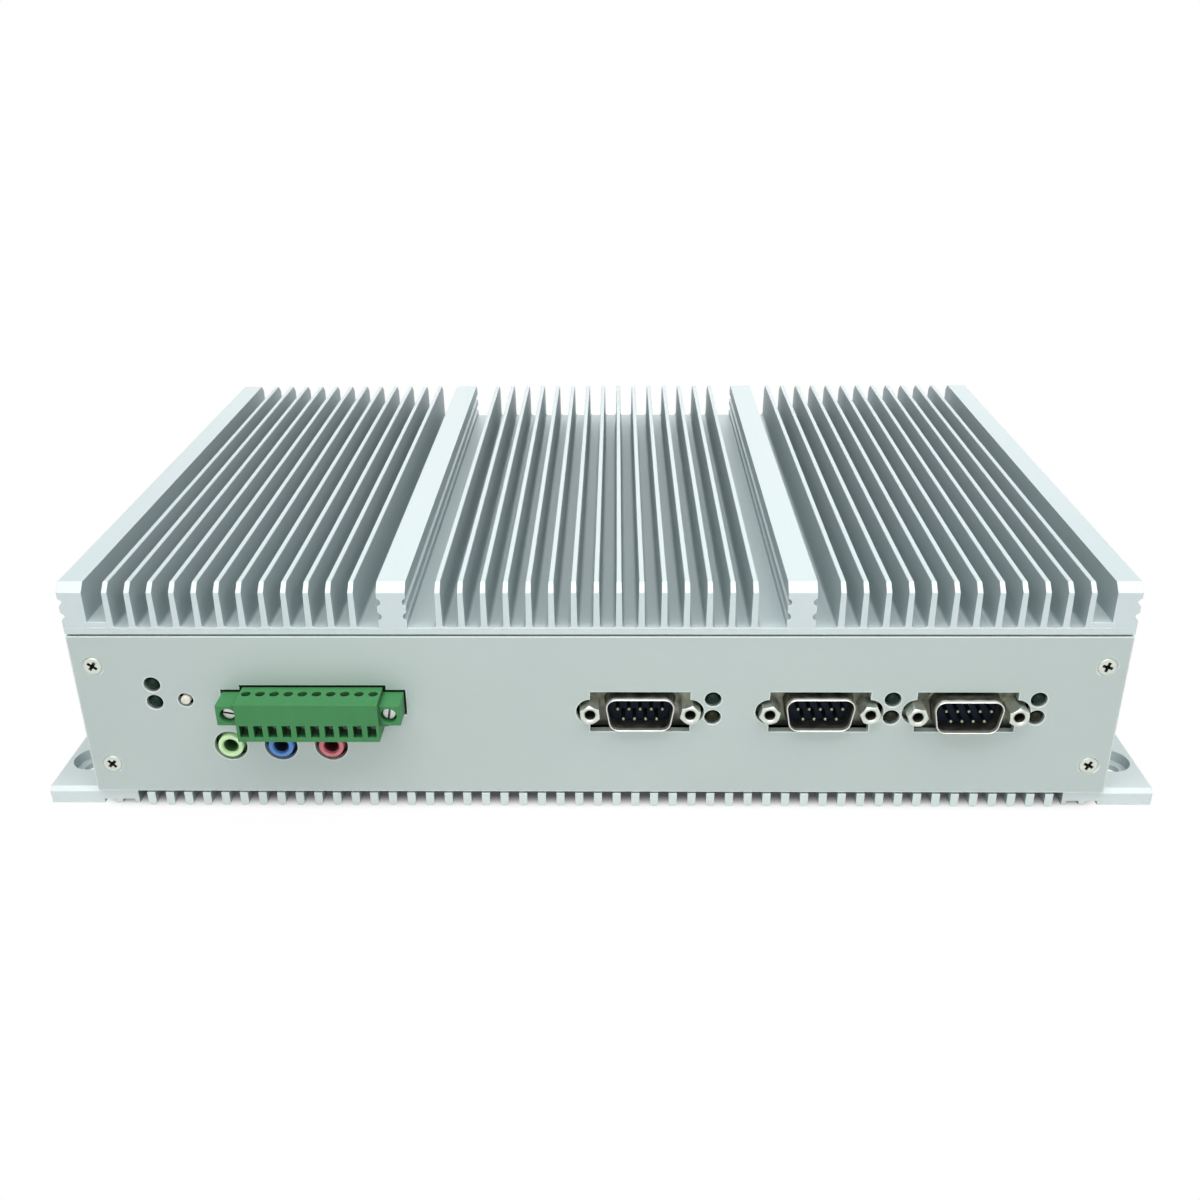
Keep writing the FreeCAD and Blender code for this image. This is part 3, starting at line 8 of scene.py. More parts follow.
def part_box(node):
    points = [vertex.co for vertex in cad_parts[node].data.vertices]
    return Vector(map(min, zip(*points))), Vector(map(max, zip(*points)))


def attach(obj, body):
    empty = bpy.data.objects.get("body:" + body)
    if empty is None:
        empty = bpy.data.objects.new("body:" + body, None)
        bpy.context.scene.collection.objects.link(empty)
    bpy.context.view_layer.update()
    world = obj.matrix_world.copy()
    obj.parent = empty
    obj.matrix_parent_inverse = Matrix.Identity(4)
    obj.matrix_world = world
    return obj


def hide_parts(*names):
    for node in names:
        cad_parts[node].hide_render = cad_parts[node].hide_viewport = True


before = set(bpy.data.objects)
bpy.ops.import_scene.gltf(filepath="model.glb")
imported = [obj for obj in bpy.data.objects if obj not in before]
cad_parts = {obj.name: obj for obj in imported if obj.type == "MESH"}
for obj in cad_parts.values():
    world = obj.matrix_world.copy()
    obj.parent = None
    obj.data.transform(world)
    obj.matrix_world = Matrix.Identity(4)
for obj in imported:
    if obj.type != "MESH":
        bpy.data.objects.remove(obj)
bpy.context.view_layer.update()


# ---- Heat sink ----
# One aluminium extrusion with thin fins between four solid rails. It is sawn to length, its ends are milled
# and chamfered, and it is blasted and anodised a pale silver. Screws in its outer channels hold it down.

class Signal:
    """A node socket that can be added, multiplied and compared like a number."""

    def __init__(self, graph, socket):
        self.graph, self.socket = graph, socket

    def worked(self, operation, *others):
        return self.graph.add("ShaderNodeMath", {"operation": operation}, *others)

    def __add__(self, other):
        return self.worked("ADD", self, other)

    def __sub__(self, other):
        return self.worked("SUBTRACT", self, other)

    def __rsub__(self, other):
        return self.worked("SUBTRACT", other, self)

    def __mul__(self, other):
        return self.worked("MULTIPLY", self, other)

    def __gt__(self, other):
        return self.worked("GREATER_THAN", self, other)

    def __lt__(self, other):
        return self.worked("LESS_THAN", self, other)

    __radd__ = __add__
    __rmul__ = __mul__


class Graph:
    """A node tree that is filled one node at a time."""

    def __init__(self, tree):
        self.tree = tree

    def add(self, kind, settings=None, *in_order, out=0, **by_name):
        """A node: its settings first, then what its sockets take. Gives the socket numbered or named out."""
        made = self.tree.nodes.new(kind)
        for name, setting in (settings or {}).items():
            setattr(made, name, setting)
        sockets = list(zip(made.inputs, in_order))
        for name, given in by_name.items():
            sockets.append((self.named(made.inputs, name), given))
        for socket, given in sockets:
            if isinstance(given, Signal):
                self.tree.links.new(given.socket, socket)
            else:
                socket.default_value = given
        if not made.outputs:
            return None
        return Signal(self, made.outputs[out] if isinstance(out, int) else self.named(made.outputs, out))

    @staticmethod
    def named(sockets, name):
        """A socket by its identifier or its shown name, with _ for a space."""
        wanted = (name, name.replace("_", " "))
        open_ones = [socket for socket in sockets if socket.enabled]
        return next(socket for socket in open_ones if socket.identifier in wanted or socket.name in wanted)


class Finish(Graph):
    """A material built around one shader."""

    def __init__(self, name):
        self.material = bpy.data.materials.new(name)
        self.material.use_nodes = True
        super().__init__(self.material.node_tree)
        self.tree.nodes.clear()
        self.place = self.add("ShaderNodeTexCoord", out="Object")

    def noise(self, size, stretch=(1, 1, 1), detail=3.0, roughness=0.5):
        """Noise whose grains are about size metres, longer along the axes that are stretched."""
        spread = self.add("ShaderNodeMapping", None, Vector=self.place, Scale=[1 / one for one in stretch])
        return self.add("ShaderNodeTexNoise", None, Vector=spread, Scale=1 / size, Detail=detail,
                        Roughness=roughness)

    def between(self, mask, low, high):
        """A colour that runs from low to high with a mask."""
        return self.add("ShaderNodeMix", {"data_type": "RGBA"}, Factor_Float=mask, A_Color=low, B_Color=high,
                        out="Result_Color")

    def along(self, axis):
        """How far a point is along X, Y or Z, in metres."""
        return self.add("ShaderNodeSeparateXYZ", None, self.place, out=axis)

    def edges(self, radius, gain=6.0):
        """A mask that is 1 on outer and inner edges and 0 on open faces, used to paint highlights on edges.
        """
        rounded = self.add("ShaderNodeBevel", {"samples": 6}, Radius=radius)
        flat = self.add("ShaderNodeNewGeometry", out="Normal")
        agree = self.add("ShaderNodeVectorMath", {"operation": "DOT_PRODUCT"}, rounded, flat, out="Value")
        return self.add("ShaderNodeMath", {"operation": "MULTIPLY", "use_clamp": True}, 1 - agree, gain)

    def painted_shade_mask(self, reach):
        """A mask for painted shade that is 1 on open faces and 0 deep in holes and corners narrower than
        reach.
        """
        return self.add("ShaderNodeAmbientOcclusion", {"samples": 8, "only_local": True}, Distance=reach,
                        out="AO")

    def relief(self, height, depth, rounding=0.0):
        """A normal from a height that is depth metres deep, with edges rounded to a radius."""
        sockets = {"Height": height, "Distance": depth, "Strength": 1.0}
        if rounding:
            sockets["Normal"] = self.add("ShaderNodeBevel", {"samples": 6}, Radius=rounding)
        return self.add("ShaderNodeBump", None, **sockets)

    def surface(self, **sockets):
        """The shader that the material shows."""
        shader = self.add("ShaderNodeBsdfPrincipled", None, **sockets)
        self.add("ShaderNodeOutputMaterial", None, Surface=shader)
        return self.material


def tone(red, green, blue, alpha=1.0):
    """A colour given as it looks on a screen, from 0 to 255."""
    return [((level / 255 + 0.055) / 1.055) ** 2.4 if level > 10 else level / 3294.6
            for level in (red, green, blue)] + [alpha]


def anodised(name, pale, deep, edge):
    """Blasted and anodised aluminium with the die's straight lines along the extrusion. Faces that look along
    X carry painted shade, and faces that look along Y and all edges carry painted light."""
    finish = Finish(name)
    lines = finish.noise(0.0005, (1, 220, 1), detail=2.0)
    speckle = finish.noise(0.00032, detail=4.0, roughness=0.65)
    cloud = finish.noise(0.03, (1, 3, 1))
    colour = finish.between(speckle * 0.5 + cloud * 0.3 + lines * 0.2, deep, pale)
    # Painted light: faces turned along X take a darker tone as painted shade, and faces turned along Y a
    # paler one as painted light.
    way = finish.add("ShaderNodeTexCoord", out="Normal")
    for axis, far, share in (("X", tone(146, 160, 163), 0.55), ("Y", edge, 0.12)):
        square = finish.add("ShaderNodeMath", {"operation": "ABSOLUTE"},
                            finish.add("ShaderNodeSeparateXYZ", None, way, out=axis))
        colour = finish.between(square * share, colour, far)
    # The edge colour is a painted highlight on the edges.
    return finish.surface(
        Base_Color=finish.between(finish.edges(0.0003) * 0.6, colour, edge), Metallic=0.25,
        Roughness=0.44 + speckle * 0.12 + lines * 0.06,
        Normal=finish.relief(lines * 0.5 + speckle * 0.6, 0.00002, rounding=0.00025))


def dress(material, *names):
    """Give CAD nodes a material."""
    for name in names:
        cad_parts[name].data.materials.clear()
        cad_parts[name].data.materials.append(material)


def plain_mesh(build, name):
    """The mesh that a finished build makes, with its faces turned outwards."""
    bmesh.ops.recalc_face_normals(build, faces=build.faces)
    mesh = bpy.data.meshes.new(name)
    build.to_mesh(mesh)
    build.free()
    return mesh


def show(mesh, name, finish, *nodes, ease=0.0, angle=40, body="chassis", slot=""):
    """A finished piece: its faces turned outwards, its edges eased, and riding where its CAD nodes ride."""
    if isinstance(mesh, bmesh.types.BMesh):
        mesh = plain_mesh(mesh, name)
    mesh.materials.clear()
    mesh.materials.append(finish)
    mesh.polygons.foreach_set("use_smooth", [True] * len(mesh.polygons))
    mesh.set_sharp_from_angle(angle=math.radians(30))
    piece = bpy.data.objects.new(name, mesh)
    bpy.context.collection.objects.link(piece)
    if ease:
        edge = piece.modifiers.new("eased_edges", "BEVEL")
        edge.width, edge.segments, edge.limit_method = ease, 2, "ANGLE"
        edge.angle_limit, edge.use_clamp_overlap = math.radians(angle), True
        level = piece.modifiers.new("level_faces", "WEIGHTED_NORMAL")
        level.keep_sharp, level.weight = True, 100
    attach(piece, body)
    if nodes:
        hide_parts(*nodes)
    return piece


def rule(name, **inputs):
    """An empty Geometry Nodes tree with named inputs, and a way to reach each of them."""
    tree = bpy.data.node_groups.new(name, "GeometryNodeTree")
    tree.is_modifier = True
    tree.interface.new_socket(name="Geometry", in_out="INPUT", socket_type="NodeSocketGeometry")
    for title, kind in inputs.items():
        tree.interface.new_socket(name=title, in_out="INPUT", socket_type="NodeSocket" + kind)
    tree.interface.new_socket(name="Geometry", in_out="OUTPUT", socket_type="NodeSocketGeometry")
    graph = Graph(tree)
    return graph, lambda title: graph.add("NodeGroupInput", out=title)


def follow(graph, start, name, **values):
    """The plain mesh that a Geometry Nodes tree makes of a starting mesh."""
    worker = bpy.data.objects.new(name + "_rule", start)
    bpy.context.collection.objects.link(worker)
    modifier = worker.modifiers.new("rule", "NODES")
    modifier.node_group = graph.tree
    for item in graph.tree.interface.items_tree:
        if item.in_out == "INPUT" and item.name in values:
            modifier[item.identifier] = values[item.name]
    made = bpy.data.meshes.new_from_object(worker.evaluated_get(bpy.context.evaluated_depsgraph_get()))
    worker.modifiers.clear()
    bpy.data.objects.remove(worker)
    return made


def bar(build, levels):
    """A closed bar along the case from its levels, lowest first: height, left, right, and half its length
    just under and just over that height."""
    rows = []
    for height, left, right, under, over in levels:
        reach = sorted({under, over})
        stations = [-one for one in reversed(reach)] + reach
        rows.append([[build.verts.new((across, along, height)) for along in stations]
                     for across in (left, right)])

    def within(line, reach):
        return [corner for corner in line if abs(corner.co.y) <= reach + 1e-7]

    for spot, (height, left, right, under, over) in enumerate(levels):
        if under != over:
            for pick in ((0, 1), (-1, -2)):
                build.faces.new([rows[spot][0][pick[0]], rows[spot][1][pick[0]],
                                 rows[spot][1][pick[1]], rows[spot][0][pick[1]]])
        if spot + 1 == len(levels):
            break
        lower = [within(line, over) for line in rows[spot]]
        upper = [within(line, levels[spot + 1][3]) for line in rows[spot + 1]]
        for side in (0, 1):
            build.faces.new(lower[side] + upper[side][::-1])
        for end in (0, -1):
            build.faces.new([lower[0][end], lower[1][end], upper[1][end], upper[0][end]])
    for line in (rows[0], rows[-1]):
        build.faces.new([line[0][0], line[1][0], line[1][-1], line[0][-1]])


def sink_end(height):
    """Half the heat sink's length at a height: square, then chamfered at the top."""
    return sink_high.y - max(0.0, height - chamfer_foot)


def rail(build, left, right, grooves):
    """A solid rail on the sink's floor, with round grooves along the faces named."""
    heights = {sink_floor, chamfer_foot, sink_high.z}
    for middle in groove_heights:
        heights.update(middle + step * groove_radius for step in (-0.995, -0.85, -0.5, 0, 0.5, 0.85, 0.995))
    levels = []
    for height in sorted(heights):
        depth = 0.0
        for middle in groove_heights:
            if abs(height - middle) < groove_radius:
                depth = max(0.0, math.sqrt(groove_radius ** 2 - (height - middle) ** 2) - groove_shallow)
        levels.append((height, left + depth * ("left" in grooves), right - depth * ("right" in grooves),
                       sink_end(height), sink_end(height)))
    bar(build, levels)


sink_low, sink_high = (Vector(corner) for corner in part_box("top_heatsink"))
panel_low, panel_high = (Vector(corner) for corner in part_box("front_panel"))
end_chamfer = 0.0021
chamfer_foot = sink_high.z - end_chamfer
groove_heights, groove_radius, groove_shallow = (0.055, 0.0588), 0.001, 0.0001
sink_floor, rim_floor, panel_gap = 0.052, 0.0535, 0.0006
rail_inside, rail_width, outer_rail = 0.0459, 0.007, 0.006
joint, hair = 0.0004, 0.00001
fin_root, fin_tip, fin_taper, root_radius, tip_radius = 0.0008, 0.000625, 0.00004, 0.0008, 0.00025
side_first, side_pitch, side_count, middle_pitch, middle_steps = 0.05904, 0.0054, 12, 0.00545, 7

sink = bmesh.new()
rebate = panel_high.z + panel_gap
inner_end = -panel_low.y - (panel_high.y - panel_low.y)
half = sink_high.x
bar(sink, [(sink_low.z, -half, half, inner_end, inner_end), (rebate, -half, half, inner_end, sink_high.y),
           (sink_floor, -half, half, sink_high.y, sink_high.y)])
last_fin, strip_end = side_first + (side_count - 1) * side_pitch, sink_high.y - 2 * hair
for side in (-1, 1):
    edges = sorted((side * last_fin, side * (half - outer_rail * 0.9)))
    bar(sink, [(height, *edges, strip_end, strip_end) for height in (sink_floor - joint, rim_floor)])
    edges = sorted((side * (half - outer_rail), side * half))
    rail(sink, *edges, "right" if side == 1 else "left")
    edges = sorted((side * rail_inside, side * (rail_inside + rail_width)))
    rail(sink, *edges, ("left", "right"))

blade = bmesh.new()
profile = [(sink_floor - joint, fin_root + root_radius)]
for step in range(5):
    turn = math.radians(22.5 * step)
    profile.append((sink_floor + root_radius * (1 - math.cos(turn)),
                    fin_root + root_radius * (1 - math.sin(turn))))
profile.append((chamfer_foot, fin_tip + fin_taper))
for step in range(4):
    turn = math.radians(30 * step)
    profile.append((sink_high.z - tip_radius * (1 - math.sin(turn)),
                    fin_tip - tip_radius * (1 - math.cos(turn))))
levels = []
for height, wide in profile:
    end = sink_end(height) - hair
    levels.append((height, -wide, wide, end, end))
bar(blade, levels)

even_row, given = rule("even_row", Count="Int", Start="Vector", Step="Vector", Finish="Material")
line = even_row.add("GeometryNodeMeshLine", {"mode": "OFFSET"}, Count=given("Count"),
                    Start_Location=given("Start"), Offset=given("Step"))
copies = even_row.add("GeometryNodeInstanceOnPoints", None, Points=line, Instance=given("Geometry"))
plain = even_row.add("GeometryNodeRealizeInstances", None, copies)
even_row.add("NodeGroupOutput", None, even_row.add("GeometryNodeSetMaterial", None, Geometry=plain,
                                                   Material=given("Finish")))

SINK_SILVER = anodised("anodised_extrusion", tone(206, 218, 218), tone(188, 201, 202), tone(230, 240, 240))
blade_mesh = plain_mesh(blade, "blade")
for count, start, pitch in ((2 * middle_steps + 1, -middle_steps * middle_pitch, middle_pitch),
                            (side_count, side_first, side_pitch), (side_count, -side_first, -side_pitch)):
    fins = follow(even_row, blade_mesh, "fins", Count=count, Start=(start, 0, 0), Step=(pitch, 0, 0),
                  Finish=SINK_SILVER)
    sink.from_mesh(fins)
show(sink, "finned_top", SINK_SILVER, "top_heatsink", ease=0.00015)


# ---- Base and side walls ----
# The base is an extrusion too: a floor with short fins under it, a solid strip at each side and flanges
# drilled for four bolts. Two plain walls with round screw channels stand on it under the heat sink.

def eased(node, name, finish, ease, angle=40, body="chassis"):
    """A CAD piece's own shape, its triangles joined into whole faces and its sharp edges eased."""
    build = bmesh.new()
    build.from_mesh(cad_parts[node].data)
    bmesh.ops.remove_doubles(build, verts=build.verts, dist=0.000002)
    bmesh.ops.dissolve_limit(build, angle_limit=math.radians(0.6), verts=build.verts, edges=build.edges)
    return show(build, name, finish, node, ease=ease, angle=angle, body=body)


BASE_SILVER = anodised("anodised_base", tone(213, 224, 223), tone(196, 207, 206), tone(232, 241, 240))
eased("bottom_base", "flanged_base", BASE_SILVER, 0.00015)
dress(SINK_SILVER, "left_side_wall", "right_side_wall")


# ---- Front and rear panels ----
# Aluminium sheet, punched for the sockets, blasted fine and anodised a shade darker than the extrusions, so
# that it looks like pale satin stone from close by. Every edge and hole rim carries a thin painted highlight.

def blasted(name, pale, deep, edge):
    """Fine blasted sheet with no direction to it and a painted highlight on its edges."""
    finish = Finish(name)
    speckle = finish.noise(0.00022, detail=5.0, roughness=0.7)
    cloud = finish.noise(0.05)
    colour = finish.between(speckle * 0.7 + cloud * 0.35, deep, pale)
    # The edge colour is a painted highlight on every edge and hole rim.
    return finish.surface(
        Base_Color=finish.between(finish.edges(0.0006, 8.0), colour, edge), Metallic=0.2,
        Roughness=0.46 + speckle * 0.12, Normal=finish.relief(speckle, 0.000015, rounding=0.0003))


PANEL_SILVER = blasted("blasted_panel", tone(194, 206, 202), tone(172, 185, 181), tone(236, 245, 241))
eased("front_panel", "socket_plate", PANEL_SILVER, 0.00006, angle=55)
eased("rear_panel", "supply_plate", PANEL_SILVER, 0.00006, angle=55)


# ---- Panel, heat sink and base screws ----
# Nickel-plated steel screws with a cross recess. The flat ones are sunk in the panels and in the base, and
# the round-headed ones stand in the outer channels of the heat sink. Each was left at its own turn.

def plated(name, pale, deep, roughness):
    """Plated steel, cloudy where it has been handled, with painted shade deep in its recesses."""
    finish = Finish(name)
    cloud = finish.noise(0.0012, detail=4.0)
    fine = finish.noise(0.0002, detail=3.0)
    # The recess colour is painted shade, laid where holes and corners are narrow.
    recess = tone(38, 38, 32)
    colour = finish.between(finish.painted_shade_mask(0.0012) * 1.6 - 0.45, recess, finish.between(cloud, deep, pale))
    return finish.surface(
        Base_Color=colour, Metallic=0.85, Roughness=roughness + cloud * 0.12,
        Normal=finish.relief(fine, 0.000006, rounding=0.0001))


def turned(build, profile, steps=32, place=(0, 0, 0)):
    """Rings of points about the upright axis from pairs of radius and height, joined by faces. A radius of 0
    closes the shape in a point. Gives the rings."""
    rings = []
    for radius, height in profile:
        if radius == 0:
            rings.append([build.verts.new((place[0], place[1], place[2] + height))])
        else:
            rings.append([build.verts.new((place[0] + radius * math.cos(2 * math.pi * step / steps),
                                           place[1] + radius * math.sin(2 * math.pi * step / steps),
                                           place[2] + height)) for step in range(steps)])
    for lower, upper in zip(rings, rings[1:]):
        for step in range(steps):
            following = (step + 1) % steps
            corners = [lower[step % len(lower)], lower[following % len(lower)],
                       upper[following % len(upper)], upper[step % len(upper)]]
            build.faces.new(list(dict.fromkeys(corners)))
    return rings


def filled(build, *loops):
    """A flat face between closed loops of points."""
    lines = []
    for loop in loops:
        for first, second in zip(loop, loop[1:] + loop[:1]):
            lines.append(build.edges.get((first, second)) or build.edges.new((first, second)))
    bmesh.ops.triangle_fill(build, use_beauty=True, use_dissolve=False, edges=lines)


def cross_screw(profile, span, width, depth):
    """A screw whose turned profile ends at the rim of its top, with a tapered cross sunk in it. The cross
    reaches span from the middle, and its arms are width to each side."""
    build = bmesh.new()
    rim = turned(build, profile)[-1]
    level = profile[-1][1]
    taper, outline = 0.62, []
    for quarter in range(4):
        turn = math.radians(90 * quarter)
        for across, up in ((span, width), (width, width), (width, span)):
            outline.append((across * math.cos(turn) - up * math.sin(turn),
                            across * math.sin(turn) + up * math.cos(turn)))
    mouth = [build.verts.new((x, y, level)) for x, y in outline]
    floor = [build.verts.new((x * taper, y * taper, level - depth)) for x, y in outline]
    filled(build, rim, mouth)
    for step in range(len(mouth)):
        after = (step + 1) % len(mouth)
        build.faces.new([mouth[step], mouth[after], floor[after], floor[step]])
    filled(build, floor)
    return build


seated, given = rule("seated_copies", Piece="Object", Finish="Material")
points = seated.add("GeometryNodeMeshToPoints", None, Mesh=given("Geometry"))
turns = seated.add("GeometryNodeInputNamedAttribute", {"data_type": "FLOAT_VECTOR"}, Name="stance")
shape = seated.add("GeometryNodeObjectInfo", None, Object=given("Piece"), out="Geometry")
copies = seated.add("GeometryNodeInstanceOnPoints", None, Points=points, Instance=shape, Rotation=turns)
plain = seated.add("GeometryNodeRealizeInstances", None, copies)
seated.add("NodeGroupOutput", None, seated.add("GeometryNodeSetMaterial", None, Geometry=plain,
                                               Material=given("Finish")))

FACING = {"front": Matrix.Rotation(math.pi / 2, 3, "X"),
          "rear": Matrix.Rotation(math.pi, 3, "Z") @ Matrix.Rotation(math.pi / 2, 3, "X"),
          "up": Matrix.Identity(3), "down": Matrix.Rotation(math.pi, 3, "X")}


def seat(name, template, finish, spots):
    """Copies of a template at spots of (x, y, z, facing, turn in degrees), as one plain mesh."""
    holder = bpy.data.objects.new(name + "_pattern", plain_mesh(template, name + "_pattern"))
    bpy.context.collection.objects.link(holder)
    cloud = bpy.data.meshes.new(name + "_spots")
    cloud.from_pydata([spot[:3] for spot in spots], [], [])
    stance = cloud.attributes.new("stance", "FLOAT_VECTOR", "POINT")
    for number, spot in enumerate(spots):
        turn = FACING[spot[3]] @ Matrix.Rotation(math.radians(spot[4]), 3, "Z")
        stance.data[number].vector = turn.to_euler()
    made = follow(seated, cloud, name, Piece=holder, Finish=finish)
    bpy.data.objects.remove(holder)
    return made


def screw_places(node, inset, upward):
    """The four places across and along Y (1) or Z (2) of a group of screws, drawn in by the head's radius."""
    low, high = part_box(node)
    return [(across, up) for across in (low[0] + inset, high[0] - inset)
            for up in (low[upward] + inset, high[upward] - inset)]


NICKEL = plated("nickel_plate", tone(226, 232, 222), tone(196, 203, 192), 0.24)
flat_cross, flat_radius = (0.00135, 0.0004, 0.0018), 0.0027
flat_head = [(0.0015, -0.0016), (0.00235, -0.0008), (0.0025, -0.0006), (0.00245, -0.0004), (0.0022, -0.00015),
             (0.0020, -0.00010)]
panel_screw = [(0, -0.0100), (0.0011, -0.0100), (0.0015, -0.0095)] + flat_head
for node, name, facing, face in (
        ("front_panel_screws", "front_screws", "front", panel_low.y),
        ("rear_panel_screws", "rear_screws", "rear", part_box("rear_panel")[1][1])):
    template = cross_screw(panel_screw, *flat_cross)
    spots = [(x, face, z, facing, 45 + 9 * number)
             for number, (x, z) in enumerate(screw_places(node, flat_radius, 2))]
    show(seat(name, template, NICKEL, spots), name, NICKEL, node)

low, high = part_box("heatsink_screws")
pan_radius, foot = 0.00215, low[2] - rim_floor
sink_screw = [(0, foot), (0.0012, foot), (0.0015, foot + 0.0004), (0.0015, 0.0), (pan_radius, 0.0),
              (pan_radius, 0.0012), (0.0019, 0.0017), (0.0016, 0.0019)]
template = cross_screw(sink_screw, 0.00125, 0.00034, 0.0009)
spots = [(x, y, rim_floor, "up", 20 + 30 * number)
         for number, (x, y) in enumerate(screw_places("heatsink_screws", pan_radius, 1))]
show(seat("sink_screws", template, NICKEL, spots), "sink_screws", NICKEL, "heatsink_screws")

low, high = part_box("base_screws")
foot = low[2] - high[2]
template = cross_screw([(0, foot), (0.0012, foot)] + flat_head, *flat_cross)
spots = [(x, y, low[2], "down", 15 + 20 * number)
         for number, (x, y) in enumerate(screw_places("base_screws", flat_radius, 1))]
show(seat("foot_screws", template, NICKEL, spots), "foot_screws", NICKEL, "base_screws")


# ---- Serial and video sockets ----
# A D-shaped shell is pressed from tinned steel with a rolled mouth, three dimples above and below that grip
# the plug, and a flange behind the panel. Its pins stand in a dark moulding, and two hexagonal posts with
# threaded bores hold the plug's screws.

def d_loop(build, inset, forward, dents=0.0):
    """A loop of points round a D section, drawn in by an inset and pushed in at three dents."""
    slope, bend, half_tall = shell_slope, shell_radius - inset, shell_tall / 2 - inset
    half_wide = shell_middle / 2 - inset / math.cos(slope)
    lean = math.degrees(slope)
    starts = {(1, -1): -90, (1, 1): -lean, (-1, 1): 90, (-1, -1): 180 + lean}
    centres = []
    for side, up in starts:
        reach = half_wide + up * half_tall * math.tan(slope)
        blunt = bend * math.tan(math.pi / 4 + up * slope / 2)
        centres.append((side * (reach - blunt), up * (half_tall - bend)))
    spots = []
    for place, ((x, z), (side, up)) in enumerate(zip(centres, starts)):
        for step in range(7):
            angle = math.radians(starts[side, up] + (90 + up * lean) * step / 6)
            spots.append((x + bend * math.cos(angle), z + bend * math.sin(angle)))
        if place in (1, 3):
            following = centres[(place + 1) % 4]
            for step in range(1, 30):
                spots.append((x + (following[0] - x) * step / 30, z + up * bend))
    points = []
    for across, up in spots:
        if dents and abs(up) > half_tall - 0.0001:
            for centre in (-dent_pitch, 0.0, dent_pitch):
                far = (across - centre) / dent_width
                up -= math.copysign(dents * math.exp(-far * far), up)
        points.append(build.verts.new((across, forward, up)))
    return points


def bridged(build, loops):
    """Faces between following loops of as many points."""
    for lower, upper in zip(loops, loops[1:]):
        for step in range(len(lower)):
            after = (step + 1) % len(lower)
            build.faces.new([lower[step], lower[after], upper[after], upper[step]])


def shell_finish(name, mouth):
    """Tin that is bright on the rolled mouth, with mottled painted shade behind it."""
    finish = Finish(name)
    cloud = finish.noise(0.0014, detail=4.0)
    off_middle = finish.add("ShaderNodeMath", {"operation": "ABSOLUTE"}, finish.along("Y"))
    bright = finish.add("ShaderNodeMapRange", {"interpolation_type": "SMOOTHSTEP"}, Value=off_middle,
                        From_Min=mouth - 0.0015, From_Max=mouth - 0.0008)
    patch = finish.noise(0.003, detail=2.0)
    # Painted shade: behind the mouth, where the shell sits in the panel's opening, the tin takes a dark
    # mottled tone.
    painted_shade_tone = finish.between(patch * 1.6 - 0.3, tone(56, 58, 50), tone(150, 152, 138))
    return finish.surface(
        Base_Color=finish.between(bright, painted_shade_tone, tone(232, 232, 224)), Metallic=0.85,
        Roughness=0.26 + cloud * 0.12, Normal=finish.relief(cloud, 0.000006, rounding=0.0001))


def d_shell_piece(node, name, facing):
    """A shell in its place: the tube with its rolled mouth and dimples, and the eared flange behind it."""
    low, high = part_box(node)
    reach = high[1] - low[1] - ear_thick
    finish = shell_finish(name + "_tin", -low[1] if facing == "front" else high[1])
    build = bmesh.new()
    loops = [d_loop(build, -0.0006, -0.0001), d_loop(build, -0.00015, 0.0002), d_loop(build, 0.0, 0.0007)]
    stations = (0.3, 0.42, 0.5, 0.55, 0.6, 0.65, 0.7, 0.78, 0.88)

    def walls(inset, depth, shares):
        for share in shares:
            dents = depth * math.exp(-((share - 0.6) * reach / 0.0008) ** 2)
            loops.append(d_loop(build, inset, reach * share, dents))

    walls(0.0, 0.00035, stations)
    loops.extend(d_loop(build, inset, reach - back) for inset, back in (
        (0.0, 0.0003), (0.00008, 0.00008), (0.0002, 0.0), (0.00034, 0.0001), (shell_wall, 0.0004)))
    walls(shell_wall, 0.0003, stations[::-1])
    loops.append(d_loop(build, shell_wall, 0.0))
    bridged(build, loops)
    bridged(build, [loops[-1], loops[0]])
    wide, tall = (high[0] - low[0]) / 2, (high[2] - low[2]) / 2
    outer = []
    for start, right, top in ((0, 1, 1), (90, -1, 1), (180, -1, -1), (270, 1, -1)):
        for step in range(6):
            angle = math.radians(start + 18 * step)
            outer.append((right * (wide - ear_radius) + ear_radius * math.cos(angle),
                          top * (tall - ear_radius) + ear_radius * math.sin(angle)))
    plates = []
    for forward, inset in ((-ear_thick, 0.0), (-0.0001, 0.0), (0.0, 0.0001)):
        plates.append([build.verts.new((x * (1 - inset / wide), forward, z * (1 - inset / tall)))
                       for x, z in outer])
    bridged(build, plates)
    throat = [d_loop(build, shell_wall, forward) for forward in (0.0, -ear_thick)]
    filled(build, plates[-1], throat[0])
    filled(build, plates[0], throat[1])
    bridged(build, throat)
    turn = Matrix.Diagonal((1, -1, 1) if facing == "front" else (-1, 1, 1))
    for point in build.verts:
        point.co = ear_face(low, high, facing) + turn @ point.co
    return show(build, name, finish, node)


def ear_face(low, high, facing):
    """The middle of the flange's outer face."""
    back = high[1] - ear_thick if facing == "front" else low[1] + ear_thick
    return Vector(((low[0] + high[0]) / 2, back, (low[2] + high[2]) / 2))


shell_middle, shell_tall, shell_slope = 0.0165, 0.0092, math.radians(10)
shell_radius, shell_wall = 0.0026, 0.0004
ear_thick, ear_radius = 0.0008, 0.0015
dent_pitch, dent_width = 0.0046, 0.0009
SHELL_TIN = plated("tinned_shell", tone(222, 222, 214), tone(170, 172, 168), 0.24)
front_shells = ("serial_shell_1", "serial_shell_2", "serial_shell_3")
for number, node in enumerate(front_shells, start=1):
    d_shell_piece(node, f"d_shell_{number}", "front")
d_shell_piece("video_shell", "d_shell_video", "rear")

